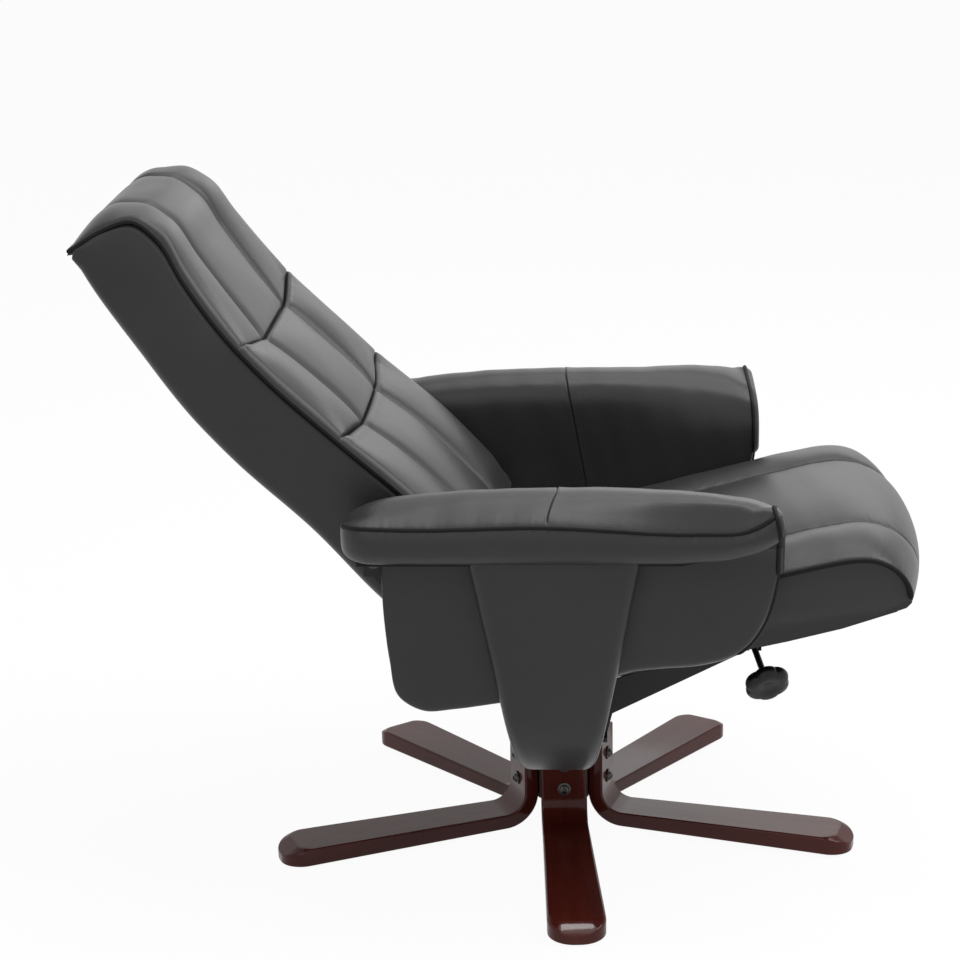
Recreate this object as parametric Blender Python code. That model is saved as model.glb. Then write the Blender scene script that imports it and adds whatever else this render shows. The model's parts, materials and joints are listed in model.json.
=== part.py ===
"""A reclining swivel armchair on a five-leg bentwood base.

The chair faces +X, its left arm is at +Y and the floor is z = 0. It is modelled reclined. The back turns on
two bolts at the rear of the arms, and slotted plates on its sides draw the seat along two sloping rails.
Outlines are written about the swivel axis, which stands SWIVEL_X in front of the origin and SWIVEL_Y left
of it.
"""

import math

import bmesh
import bpy
import numpy as np
from mathutils import Matrix, Vector

GAP = 0.0003  # between pieces that touch

# Base: five bent legs bolted round a pentagonal hub
LEG_COUNT = 5
LEG_REACH = 0.390
LEG_TURN = math.radians(-86.2)
LEG_TIP_WIDTH = 0.073
LEG_ROOT_WIDTH = 0.060
LEG_TIP_THICKNESS = 0.024
LEG_ROOT_THICKNESS = 0.019
LEG_RISE = 0.006
LEG_BEND_RADIUS = 0.037
LEG_TAB_TOP = 0.136
LEG_TIP_CORNER = 0.028
LEG_TIP_ROUND = 0.012
LEG_EDGE_ROUND = 0.004
GLIDE_HEIGHT = 0.003
GLIDE_RADIUS = 0.012
GLIDE_INSET = 0.032
HUB_APOTHEM = 0.0435
HUB_WALL = 0.004
HUB_BOTTOM = 0.050
HUB_TOP = 0.151
HUB_TOP_PLATE = 0.006
LEG_BOLT_RADIUS = 0.004
LEG_BOLT_HEIGHTS = (0.070, 0.1025)
LEG_BOLT_CLEARANCE = 0.0004

# Swivel: flanged spindle in a bush, on a thrust washer
SPINDLE_RADIUS = 0.0155
SPINDLE_BOTTOM = 0.053
SWIVEL_FLANGE_RADIUS = 0.050
SWIVEL_FLANGE_THICKNESS = 0.0084
BUSH_WALL = 0.0037
BEARING_TUBE_WALL = 0.006
BEARING_TUBE_BOTTOM = 0.062
WASHER_THICKNESS = 0.005
WASHER_RADIUS = 0.036
CLIP_WIDTH = 0.007
CLIP_THICKNESS = 0.002

# Yoke and the two wedge-shaped uprights
YOKE_THICKNESS = 0.006
YOKE_FRONT = 0.061
YOKE_REAR = -0.050
YOKE_HALF_LENGTH = 0.140
UPRIGHT_THICKNESS = 0.035
UPRIGHT_BEND = 0.090
UPRIGHT_FOOT_END = 0.060
UPRIGHT_TOP_WIDTH = 0.207
UPRIGHT_FOOT_WIDTH = 0.094
UPRIGHT_LEAN = 0.008
UPRIGHT_EDGE = 0.007

# Seat
SEAT_HALF_WIDTH = 0.253
SEAT_REAR = -0.054
SEAT_FRONT = 0.457
SEAT_FRONT_SWEEP = 0.030
SEAT_CREST = 0.370
SEAT_CREST_HEIGHT = 0.442
SEAT_TOP_SLOPE = 0.26
SEAT_TOP_EASE = 0.030
SEAT_OVER_RAIL = 0.104  # from the rear end of the rails up to the underside
SEAT_BOTTOM_AT = 0.078
SEAT_BOTTOM_SLOPE = 0.222
SEAT_UPTURN_AT = 0.290
SEAT_UPTURN = 0.61
SEAT_CHANNEL = 0.145
SEAT_CHANNEL_RISE = 0.012
SEAT_PUFF = 0.012
PAN_THICKNESS = 0.007
PAN_INSET = 0.018
PAN_FRONT_INSET = 0.045

# Rails under the seat and the seat's runners
RAIL_SLOPE = math.radians(26.5)
RAIL_SIDE = 0.115
RAIL_REAR = 0.054
RAIL_LENGTH = 0.196
RAIL_RISE = 0.0207  # from the yoke up to the rear end
RAIL_WIDTH = 0.020
RAIL_DEPTH = 0.016
RAIL_WALL = 0.003
SHOE_LENGTH = 0.028
SHOE_HEIGHT = 0.0075
SHOE_SIDE_CLEARANCE = 0.0006
SHOE_STATIONS = (0.097, 0.177)
RUNNER_THICKNESS = 0.005
RUNNER_REAR = 0.082
RUNNER_FRONT = 0.191
GUSSET_THICKNESS = 0.010
GUSSET_LENGTH = 0.0155

# Back
BACK_SIDE_ROOM = 0.022  # from the back to each arm, for the plates and brackets
BACK_TOP_HALF_WIDTH = 0.200
BACK_FRONT_LINE = [
    (-0.072, 0.405),
    (-0.175, 0.514),
    (-0.261, 0.590),
    (-0.345, 0.668),
    (-0.397, 0.726),
    (-0.440, 0.782),
    (-0.473, 0.832),
    (-0.500, 0.850),
    (-0.536, 0.841),
    (-0.573, 0.8185),
]
BACK_REAR_LINE = [
    (-0.150, 0.335),
    (-0.212, 0.396),
    (-0.285, 0.477),
    (-0.379, 0.566),
    (-0.482, 0.684),
    (-0.540, 0.764),
    (-0.568, 0.810),
]
BACK_PAD_DEPTH = 0.016
BACK_CHANNEL = 0.100
BACK_SEAMS = (0.345, 0.575)
BACK_SEAM_LIFT = 0.030
BACK_BOLSTER_PUFF = 0.014
BACK_PANEL_PUFF = 0.012
BACK_VALLEY = 0.004
BACK_REAR_CORNER = 0.022

# Recline linkage
PIVOT_X = -0.220
PIVOT_DROP = 0.020  # below the top of the arm panels
RECLINE_RANGE = math.radians(27.0)
LINK_ARM = 0.165
LINK_PLATE_THICKNESS = 0.005
LINK_PLATE_END = 0.015
PIVOT_BOLT_RADIUS = 0.005
PIVOT_RUNNING_GAP = 0.0004
SEAT_PIN_RADIUS = 0.005
SEAT_PIN_SIDE_GAP = 0.0007
SEAT_PIN_END_GAP = 0.0010
SEAT_BRACKET_THICKNESS = 0.005
SEAT_BRACKET_INSET = 0.0075
SEAT_BRACKET_FOOT = 0.105
SEAT_BRACKET_DEPTH = 0.020
PIVOT_BRACKET_THICKNESS = 0.005
PIVOT_BRACKET_WIDTH = 0.025
PIVOT_BRACKET_DROP = 0.020
PIVOT_BRACKET_REACH = 0.050

# Arms
ARM_SIDE_GAP = 0.009
ARM_PANEL_THICKNESS = 0.038
ARM_PANEL_TOP = 0.462
ARM_PANEL_ROUND = 0.010
ARM_BOARD_THICKNESS = 0.006
ARM_BOARD_OVERHANG = 0.038
ARM_BOARD_FRONT = 0.235
ARM_REAR = -0.250
ARM_FRONT = 0.268
ARM_REAR_ROUND = 0.036
ARM_LIP = 0.067
ARM_RIDGE = [
    (-0.250, 0.519),
    (-0.217, 0.530),
    (-0.120, 0.543),
    (0.0, 0.547),
    (0.100, 0.547),
    (0.194, 0.546),
    (0.240, 0.544),
    (0.268, 0.538),
]
ARM_PIPING = [(-0.250, 0.516), (-0.177, 0.512), (0.0, 0.517), (0.169, 0.510), (0.226, 0.513), (0.268, 0.535)]
ARM_LIP_BOTTOM = [(-0.250, 0.470), (0.150, 0.470), (0.204, 0.474), (0.240, 0.484), (0.268, 0.499)]
ARM_RIDGE_LEAN = 0.026
ARM_LEAN_START = 0.060
ARM_FLARE_START = 0.185
ARM_FRONT_SETBACK = 0.012
ARM_BOARD_TAPER = 0.150
ARM_PANEL_CORNERS = [
    (-0.207, 0.462),
    (-0.203, 0.345),
    (-0.194, 0.290),
    (-0.160, 0.268),
    (-0.120, 0.270),
    (0.080, 0.311),
    (0.236, 0.350),
    (0.256, 0.384),
    (0.268, 0.430),
    (0.268, 0.462),
]

# Clamp knob under the right edge of the seat
KNOB_FORWARD = 0.2582
KNOB_INSET = 0.0492  # from the edge of the seat
KNOB_DROP = 0.027  # below the seat's lowest underside
KNOB_AXIS = (0.24, -0.82, -0.52)
KNOB_RADIUS = 0.0285
KNOB_THICKNESS = 0.019
KNOB_LOBES = 6
KNOB_LOBE_DEPTH = 0.0016
KNOB_ROD_RADIUS = 0.004
KNOB_ROD_LENGTH = 0.0805
FORK_FINGER = 0.004
FORK_WEB = 0.003
FORK_DEPTH = 0.028
FORK_LENGTH = 0.008

# Derived places
HIGH_SIDES = (("left", 1.0), ("right", -1.0))
WASHER_BOTTOM = HUB_TOP + GAP
FLANGE_BOTTOM = WASHER_BOTTOM + WASHER_THICKNESS + GAP
YOKE_BOTTOM = FLANGE_BOTTOM + SWIVEL_FLANGE_THICKNESS + GAP
UPRIGHT_BOTTOM = YOKE_BOTTOM + YOKE_THICKNESS + GAP
RAIL_REAR_HEIGHT = YOKE_BOTTOM + YOKE_THICKNESS + RAIL_RISE
SEAT_BOTTOM_HEIGHT = RAIL_REAR_HEIGHT + SEAT_OVER_RAIL
ARM_INNER = SEAT_HALF_WIDTH + ARM_SIDE_GAP
ARM_PANEL_OUTER = ARM_INNER + ARM_PANEL_THICKNESS
UPRIGHT_INNER = ARM_PANEL_OUTER + GAP
ARM_OUTER = ARM_PANEL_OUTER + ARM_LIP
ARM_BOARD_BOTTOM = ARM_PANEL_TOP + GAP
ARM_PAD_BOTTOM = ARM_BOARD_BOTTOM + ARM_BOARD_THICKNESS + GAP
UPRIGHT_TOP = ARM_PANEL_TOP
PIVOT_HEIGHT = ARM_PANEL_TOP - PIVOT_DROP
BACK_HALF_WIDTH = ARM_INNER - BACK_SIDE_ROOM
LINK_PLATE_INNER = BACK_HALF_WIDTH + GAP
LINK_PLATE_OUTER = LINK_PLATE_INNER + LINK_PLATE_THICKNESS
PIVOT_BRACKET_INNER = LINK_PLATE_OUTER + 0.0005
PIVOT_BRACKET_OUTER = PIVOT_BRACKET_INNER + PIVOT_BRACKET_THICKNESS
SEAT_PIN_REACH = LINK_ARM / math.cos(RECLINE_RANGE / 2)
SEAT_PIN_ANGLE = RAIL_SLOPE + RECLINE_RANGE / 2
SEAT_PIN_X = PIVOT_X + SEAT_PIN_REACH * math.sin(SEAT_PIN_ANGLE)
SEAT_PIN_HEIGHT = PIVOT_HEIGHT - SEAT_PIN_REACH * math.cos(SEAT_PIN_ANGLE)
SEAT_TRAVEL = 2 * LINK_ARM * math.tan(RECLINE_RANGE / 2)
KNOB_CENTRE = (KNOB_FORWARD, KNOB_INSET - SEAT_HALF_WIDTH, SEAT_BOTTOM_HEIGHT - KNOB_DROP)
SWIVEL_X = -(min(x for x, _ in BACK_FRONT_LINE) + SEAT_FRONT) / 2
SWIVEL_Y = (LEG_REACH - ARM_OUTER) / 2


def clear_scene():
    for obj in list(bpy.data.objects):
        bpy.data.objects.remove(obj, do_unlink=True)


def make_material(name, colour, roughness, metallic=0.0):
    material = bpy.data.materials.new(name)
    material.use_nodes = True
    shader = material.node_tree.nodes["Principled BSDF"]
    shader.inputs["Base Color"].default_value = (*colour, 1.0)
    shader.inputs["Roughness"].default_value = roughness
    shader.inputs["Metallic"].default_value = metallic
    return material


def make_axis(name, place, parent=None, turn=None):
    """An empty at a joint's axis. Place is written about the swivel axis, as every outline is."""
    empty = bpy.data.objects.new(name, None)
    bpy.context.scene.collection.objects.link(empty)
    here = Matrix.Translation(Vector(place))
    if turn is not None:
        here = here @ turn.to_matrix().to_4x4()
    if parent is not None:
        empty.parent = parent
        here = parent_matrix(parent).inverted() @ here
    empty.matrix_basis = here
    return empty


def parent_matrix(empty):
    """The empty's place about the swivel axis, worked out through its parents below the chair's own empty."""
    matrix = empty.matrix_basis.copy()
    while empty.parent is not None:
        empty = empty.parent
        matrix = empty.matrix_basis @ matrix
    return matrix


def add_piece(name, shape, material, parent, smooth_angle=35.0):
    """One closed body from points written about the swivel axis, hung on its joint's empty."""
    points, faces = shape
    mesh = bpy.data.meshes.new(name)
    mesh.from_pydata([tuple(p) for p in points], [], [tuple(int(i) for i in f) for f in faces])
    work = bmesh.new()
    work.from_mesh(mesh)
    bmesh.ops.remove_doubles(work, verts=work.verts, dist=1e-6)
    bmesh.ops.recalc_face_normals(work, faces=work.faces)
    work.to_mesh(mesh)
    work.free()
    mesh.transform((chair_place.inverted() @ parent_matrix(parent)).inverted())
    mesh.shade_smooth()
    mesh.set_sharp_from_angle(angle=math.radians(smooth_angle))
    mesh.materials.append(material)
    obj = bpy.data.objects.new(name, mesh)
    obj.parent = parent
    bpy.context.scene.collection.objects.link(obj)
    return obj


def combine(target, shape, operation="DIFFERENCE"):
    """Cuts a shape from a piece, or joins it on, and keeps the result as the piece's mesh."""
    other = add_piece(target.name + "_tool", shape, target.data.materials[0], target.parent)
    modifier = target.modifiers.new("combine", "BOOLEAN")
    modifier.operation = operation
    modifier.object = other
    modifier.solver = "EXACT"
    bpy.context.view_layer.update()
    result = bpy.data.meshes.new_from_object(target.evaluated_get(bpy.context.evaluated_depsgraph_get()))
    target.modifiers.remove(modifier)
    target.data = result
    bpy.data.objects.remove(other, do_unlink=True)
    return target


def loft(rings):
    """Rings of equal count joined in order, with a flat face at each end."""
    rings = np.asarray(rings, float)
    count, size = rings.shape[:2]
    faces = []
    for i in range(count - 1):
        for j in range(size):
            k = (j + 1) % size
            faces.append((i * size + j, i * size + k, (i + 1) * size + k, (i + 1) * size + j))
    faces.append(tuple(range(size)))
    faces.append(tuple(range((count - 1) * size, count * size)))
    return rings.reshape(-1, 3), faces


def plate(outline, low, high, axis="y"):
    """A flat outline given a thickness along one axis: (x, z) outlines, (x, y) along z, or (y, z) along x."""
    outline = np.asarray(outline, float)
    order = {"y": (0, 2, 1), "z": (0, 1, 2), "x": (1, 2, 0)}[axis]
    rings = np.zeros((2, len(outline), 3))
    for ring, level in zip(rings, (low, high)):
        ring[:, order[0]] = outline[:, 0]
        ring[:, order[1]] = outline[:, 1]
        ring[:, order[2]] = level
    return loft(rings)


def turned(profile, steps, place=(0, 0, 0), axis=(0, 0, 1), closed=False):
    """A profile of (radius, height) turned about an axis. A closed profile makes a ring."""
    profile = np.asarray(profile, float)
    turn = np.array(Vector((0, 0, 1)).rotation_difference(Vector(axis)).to_matrix())
    angles = np.arange(steps) * 2 * math.pi / steps
    around = np.stack([np.cos(angles), np.sin(angles)], 1)
    rings = [np.column_stack([r * around, np.full(steps, h)]) for r, h in profile]
    points = np.concatenate(rings) @ turn.T + np.asarray(place, float)
    faces = []
    count = len(profile)
    for i in range(count if closed else count - 1):
        n = (i + 1) % count
        for j in range(steps):
            k = (j + 1) % steps
            corners = [i * steps + j, i * steps + k, n * steps + k, n * steps + j]
            if profile[i][0] == 0:
                corners = [i * steps, n * steps + k, n * steps + j]
            elif profile[n][0] == 0:
                corners = [i * steps + j, i * steps + k, n * steps]
            faces.append(tuple(corners))
    return points, faces


def rod(start, end, radius, steps=12):
    start, end = np.asarray(start, float), np.asarray(end, float)
    length = float(np.linalg.norm(end - start))
    return turned([(0, 0), (radius, 0), (radius, length), (0, length)], steps, start, end - start)


def curve_through(points, at):
    """A smooth curve through the points, read at shares of its length: cubic pieces with matched slopes."""
    points = np.asarray(points, float)
    steps = np.concatenate([[0], np.cumsum(np.linalg.norm(np.diff(points, axis=0), axis=1))])
    slopes = np.gradient(points, steps, axis=0)
    at = np.clip(np.asarray(at, float), 0, 1) * steps[-1]
    i = np.clip(np.searchsorted(steps, at, side="right") - 1, 0, len(points) - 2)
    h = (steps[i + 1] - steps[i])[:, None]
    t = (at - steps[i])[:, None] / h
    return (
        (1 + 2 * t) * (1 - t) ** 2 * points[i]
        + t * (1 - t) ** 2 * h * slopes[i]
        + t**2 * (3 - 2 * t) * points[i + 1]
        + t**2 * (t - 1) * h * slopes[i + 1]
    )


def height_on(points, x):
    """Height on a smooth curve of (x, z) points, by x."""
    fine = curve_through(points, np.linspace(0, 1, 400))
    return np.interp(x, fine[:, 0], fine[:, 1])


def ease(x, start, end):
    t = np.clip((np.asarray(x, float) - start) / (end - start), 0, 1)
    return t * t * (3 - 2 * t)


def rounded_box(half_width, low, high, corner, per_corner=3):
    """A rounded rectangle of (across, up) points."""
    corner = min(corner, half_width * 0.9, (high - low) * 0.45)
    points = []
    for cx, cz, start in (
        (half_width - corner, high - corner, 0),
        (-half_width + corner, high - corner, 90),
        (-half_width + corner, low + corner, 180),
        (half_width - corner, low + corner, 270),
    ):
        for step in range(per_corner):
            a = math.radians(start + 90 * step / (per_corner - 1))
            points.append((cx + corner * math.cos(a), cz + corner * math.sin(a)))
    return np.array(points)


def leg_shape():
    """A bent leg along +X: a tab at the hub, a bend, then a run that widens and thickens to its tip."""
    tab_at = HUB_APOTHEM + GAP + LEG_ROOT_THICKNESS / 2
    tip_height = GLIDE_HEIGHT + LEG_TIP_THICKNESS / 2
    bend_at = tab_at + LEG_BEND_RADIUS
    slope = math.atan2(LEG_RISE, LEG_REACH - bend_at)
    run_height = tip_height + LEG_RISE
    centre = np.array([bend_at, run_height + LEG_BEND_RADIUS])
    stations = []
    for height in (LEG_TAB_TOP, LEG_TAB_TOP - 0.004, centre[1]):
        stations.append((tab_at, height, 0.0))
    for a in np.linspace(0, math.pi / 2 - slope, 7)[1:]:
        place = centre + LEG_BEND_RADIUS * np.array([-math.cos(a), -math.sin(a)])
        stations.append((*place, a))
    start = np.array(stations[-1][:2])
    end = np.array([LEG_REACH, tip_height])
    length = float(np.linalg.norm(end - start))
    backs = [0.5 * length] + [LEG_TIP_CORNER * k for k in (1, 0.6, 0.35, 0.16, 0.05, 0)]
    for back in backs:
        stations.append((*(end + (start - end) * back / length), math.pi / 2 - slope))
    rings = []
    for x, z, a in stations:
        along = np.clip((x - bend_at) / (LEG_REACH - bend_at), 0, 1)
        half_width = (LEG_ROOT_WIDTH + (LEG_TIP_WIDTH - LEG_ROOT_WIDTH) * along) / 2
        thickness = LEG_ROOT_THICKNESS + (LEG_TIP_THICKNESS - LEG_ROOT_THICKNESS) * along
        low, high = -thickness / 2, thickness / 2
        to_tip = LEG_REACH - x
        if to_tip < LEG_TIP_CORNER:
            half_width -= LEG_TIP_CORNER - math.sqrt(LEG_TIP_CORNER**2 - (LEG_TIP_CORNER - to_tip) ** 2)
        if to_tip < LEG_TIP_ROUND:
            high -= LEG_TIP_ROUND - math.sqrt(LEG_TIP_ROUND**2 - (LEG_TIP_ROUND - to_tip) ** 2)
        if z == LEG_TAB_TOP:
            half_width -= LEG_EDGE_ROUND
        section = rounded_box(half_width, low, high, LEG_EDGE_ROUND)
        normal = np.array([math.cos(a), math.sin(a)])
        ring = [(x + normal[0] * up, across, z + normal[1] * up) for across, up in section]
        rings.append(ring)
    return loft(rings)


def leg_underside(reach):
    """Lowest point of a leg at a distance from the swivel axis, on its straight run."""
    bend_at = HUB_APOTHEM + GAP + LEG_ROOT_THICKNESS / 2 + LEG_BEND_RADIUS
    along = (reach - bend_at) / (LEG_REACH - bend_at)
    thickness = LEG_ROOT_THICKNESS + (LEG_TIP_THICKNESS - LEG_ROOT_THICKNESS) * along
    return GLIDE_HEIGHT + LEG_TIP_THICKNESS / 2 + LEG_RISE * (1 - along) - thickness / 2


def leg_bolt_shape():
    """Button-head bolt with its washer, along +X, seated on the outer face of a leg's tab."""
    head, washer = 0.0065, 0.0088
    seat = HUB_APOTHEM + GAP + LEG_ROOT_THICKNESS + GAP
    inside = HUB_APOTHEM - HUB_WALL - 0.006
    profile = [
        (0, inside - seat),
        (LEG_BOLT_RADIUS, inside - seat),
        (LEG_BOLT_RADIUS, 0),
        (washer, 0),
        (washer, 0.0015),
        (head, 0.0018),
        (head - 0.0012, 0.0042),
        (0.0030, 0.0056),
        (0.0026, 0.0036),
        (0, 0.0036),
    ]
    return turned(profile, 12, (seat, 0, 0), (1, 0, 0))


def build_base(wood, steel, nylon, felt):
    corners = [LEG_TURN + math.pi / LEG_COUNT + 2 * math.pi * i / LEG_COUNT for i in range(LEG_COUNT)]
    pentagon = [(math.cos(a), math.sin(a)) for a in corners]
    to_corner = 1 / math.cos(math.pi / LEG_COUNT)
    outer = np.array(pentagon) * HUB_APOTHEM * to_corner
    inner = np.array(pentagon) * (HUB_APOTHEM - HUB_WALL) * to_corner
    hub = add_piece("hub", plate(outer, HUB_BOTTOM, HUB_TOP, "z"), steel, chair)
    combine(hub, plate(inner, HUB_BOTTOM - 0.01, HUB_TOP - HUB_TOP_PLATE, "z"))
    bush_outer = SPINDLE_RADIUS + GAP + BUSH_WALL
    bore = bush_outer + GAP
    tube_top = HUB_TOP - HUB_TOP_PLATE / 2
    tube = rod((0, 0, BEARING_TUBE_BOTTOM), (0, 0, tube_top), bore + BEARING_TUBE_WALL, 24)
    combine(hub, tube, "UNION")
    combine(hub, rod((0, 0, HUB_BOTTOM - 0.02), (0, 0, HUB_TOP + 0.01), bore, 24))

    leg = None
    leg_bolt = turned_bolt = None
    for i in range(LEG_COUNT):
        angle = LEG_TURN + 2 * math.pi * i / LEG_COUNT
        turn = Matrix.Rotation(angle, 4, "Z")
        if leg is None:
            leg = add_piece("leg_1", leg_shape(), wood, chair)
            for height in LEG_BOLT_HEIGHTS:
                hole = LEG_BOLT_RADIUS + LEG_BOLT_CLEARANCE
                combine(leg, rod((0.04, 0, height), (0.12, 0, height), hole))
            leg.data.shade_smooth()
            leg.data.set_sharp_from_angle(angle=math.radians(35))
            obj = leg
        else:
            obj = bpy.data.objects.new(f"leg_{i + 1}", leg.data)
            obj.parent = chair
            bpy.context.scene.collection.objects.link(obj)
        obj.matrix_basis = turn
        for level, height in zip(("lower", "upper"), LEG_BOLT_HEIGHTS):
            name = f"leg_bolt_{i + 1}_{level}"
            if leg_bolt is None:
                turned_bolt = add_piece(name, leg_bolt_shape(), steel, chair)
                leg_bolt = turned_bolt.data
            else:
                turned_bolt = bpy.data.objects.new(name, leg_bolt)
                turned_bolt.parent = chair
                bpy.context.scene.collection.objects.link(turned_bolt)
            turned_bolt.matrix_basis = turn @ Matrix.Translation((0, 0, height))
            direction = np.array([math.cos(angle), math.sin(angle)])
            near = np.array([*(direction * (HUB_APOTHEM - 2 * HUB_WALL)), height])
            far = np.array([*(direction * (HUB_APOTHEM + HUB_WALL)), height])
            combine(hub, rod(near, far, LEG_BOLT_RADIUS + LEG_BOLT_CLEARANCE))
        reach = LEG_REACH - GLIDE_INSET
        top = min(leg_underside(reach - GLIDE_RADIUS), leg_underside(reach + GLIDE_RADIUS)) - GAP
        place = (reach * math.cos(angle), reach * math.sin(angle), 0)
        profile = [(0, 0), (GLIDE_RADIUS - 0.001, 0), (GLIDE_RADIUS, 0.001), (GLIDE_RADIUS, top), (0, top)]
        add_piece(f"glide_{i + 1}", turned(profile, 16, place), felt, chair)

    bush_inner = SPINDLE_RADIUS + GAP
    bush = [
        (bush_inner, BEARING_TUBE_BOTTOM),
        (bush_outer, BEARING_TUBE_BOTTOM),
        (bush_outer, HUB_TOP),
        (bush_inner, HUB_TOP),
    ]
    add_piece("swivel_bush", turned(bush, 24, closed=True), nylon, chair)
    washer = [
        (bush_inner, WASHER_BOTTOM),
        (WASHER_RADIUS, WASHER_BOTTOM),
        (WASHER_RADIUS, WASHER_BOTTOM + WASHER_THICKNESS),
        (bush_inner, WASHER_BOTTOM + WASHER_THICKNESS),
    ]
    add_piece("thrust_washer", turned(washer, 24, closed=True), nylon, chair)


def upright_shape(side):
    """A wedge-shaped padded board: down beside the arm panel, bent under the seat, then flat to the yoke."""
    middle = UPRIGHT_INNER + UPRIGHT_THICKNESS / 2
    bend = UPRIGHT_BEND
    floor = UPRIGHT_BOTTOM + UPRIGHT_THICKNESS / 2
    centre = np.array([middle - bend, floor + bend])
    path = [(middle + UPRIGHT_LEAN, UPRIGHT_TOP, 0.0), (middle + UPRIGHT_LEAN, UPRIGHT_TOP - 0.004, 0.0)]
    path.append((middle + UPRIGHT_LEAN / 2, (UPRIGHT_TOP + centre[1]) / 2, 0.0))
    for a in np.linspace(0, math.pi / 2, 8):
        path.append((centre[0] + bend * math.cos(a), centre[1] - bend * math.sin(a), a))
    path.append((UPRIGHT_FOOT_END, floor, math.pi / 2))
    rings = []
    for y, z, a in path:
        share = np.clip((z - floor) / (UPRIGHT_TOP - floor), 0, 1)
        half_width = (UPRIGHT_FOOT_WIDTH + (UPRIGHT_TOP_WIDTH - UPRIGHT_FOOT_WIDTH) * share) / 2
        section = rounded_box(half_width, -UPRIGHT_THICKNESS / 2, UPRIGHT_THICKNESS / 2, UPRIGHT_EDGE)
        ring = [(x, side * (y + up * math.cos(a)), z - up * math.sin(a)) for x, up in section]
        rings.append(ring)
    return loft(rings)


def rail_point(along, up):
    """A point on the rail's side view: a distance along its slope and up from its underside."""
    c, s = math.cos(RAIL_SLOPE), math.sin(RAIL_SLOPE)
    return (RAIL_REAR + along * c - up * s, RAIL_REAR_HEIGHT + along * s + up * c)


def rail_shape(side):
    """An open trough that slopes up to the front."""
    w, d, t = RAIL_WIDTH / 2, RAIL_DEPTH, RAIL_WALL
    section = [(-w, 0), (w, 0), (w, d), (w - t, d), (w - t, t), (-w + t, t), (-w + t, d), (-w, d)]
    rings = []
    for along in (0, RAIL_LENGTH):
        ring = []
        for across, up in section:
            x, z = rail_point(along, up)
            ring.append((x, side * RAIL_SIDE + across, z))
        rings.append(ring)
    return loft(rings)


def build_swivel(steel, upholstery):
    bottom = FLANGE_BOTTOM
    top = bottom + SWIVEL_FLANGE_THICKNESS
    spindle = [
        (0, SPINDLE_BOTTOM),
        (SPINDLE_RADIUS - 0.001, SPINDLE_BOTTOM),
        (SPINDLE_RADIUS, SPINDLE_BOTTOM + 0.001),
        (SPINDLE_RADIUS, bottom),
        (SWIVEL_FLANGE_RADIUS, bottom),
        (SWIVEL_FLANGE_RADIUS, top),
        (0, top),
    ]
    add_piece("swivel_spindle", turned(spindle, 32), steel, swivel_axis)
    clip_top = BEARING_TUBE_BOTTOM - GAP
    clip = [
        (SPINDLE_RADIUS + GAP, clip_top - CLIP_THICKNESS),
        (SPINDLE_RADIUS + CLIP_WIDTH, clip_top - CLIP_THICKNESS),
        (SPINDLE_RADIUS + CLIP_WIDTH, clip_top),
        (SPINDLE_RADIUS + GAP, clip_top),
    ]
    add_piece("spindle_clip", turned(clip, 24, closed=True), steel, swivel_axis)
    yoke = [
        (YOKE_REAR, -YOKE_HALF_LENGTH + 0.03),
        (YOKE_REAR + 0.02, -YOKE_HALF_LENGTH),
        (YOKE_FRONT, -YOKE_HALF_LENGTH),
        (YOKE_FRONT, YOKE_HALF_LENGTH),
        (YOKE_REAR + 0.02, YOKE_HALF_LENGTH),
        (YOKE_REAR, YOKE_HALF_LENGTH - 0.03),
    ]
    add_piece("yoke_plate", plate(yoke, YOKE_BOTTOM, YOKE_BOTTOM + YOKE_THICKNESS, "z"), steel, swivel_axis)
    for word, side in HIGH_SIDES:
        add_piece(f"upright_{word}", upright_shape(side), upholstery, swivel_axis)
        add_piece(f"rail_{word}", rail_shape(side), steel, swivel_axis)
        low = rail_point(0, -GAP)
        high = rail_point(GUSSET_LENGTH, -GAP)
        foot = YOKE_BOTTOM + YOKE_THICKNESS + GAP
        gusset = [low, high, (min(high[0], YOKE_FRONT), foot), (low[0], foot)]
        edges = sorted((side * RAIL_SIDE - GUSSET_THICKNESS / 2, side * RAIL_SIDE + GUSSET_THICKNESS / 2))
        add_piece(f"rail_gusset_{word}", plate(gusset, *edges), steel, swivel_axis)


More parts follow.
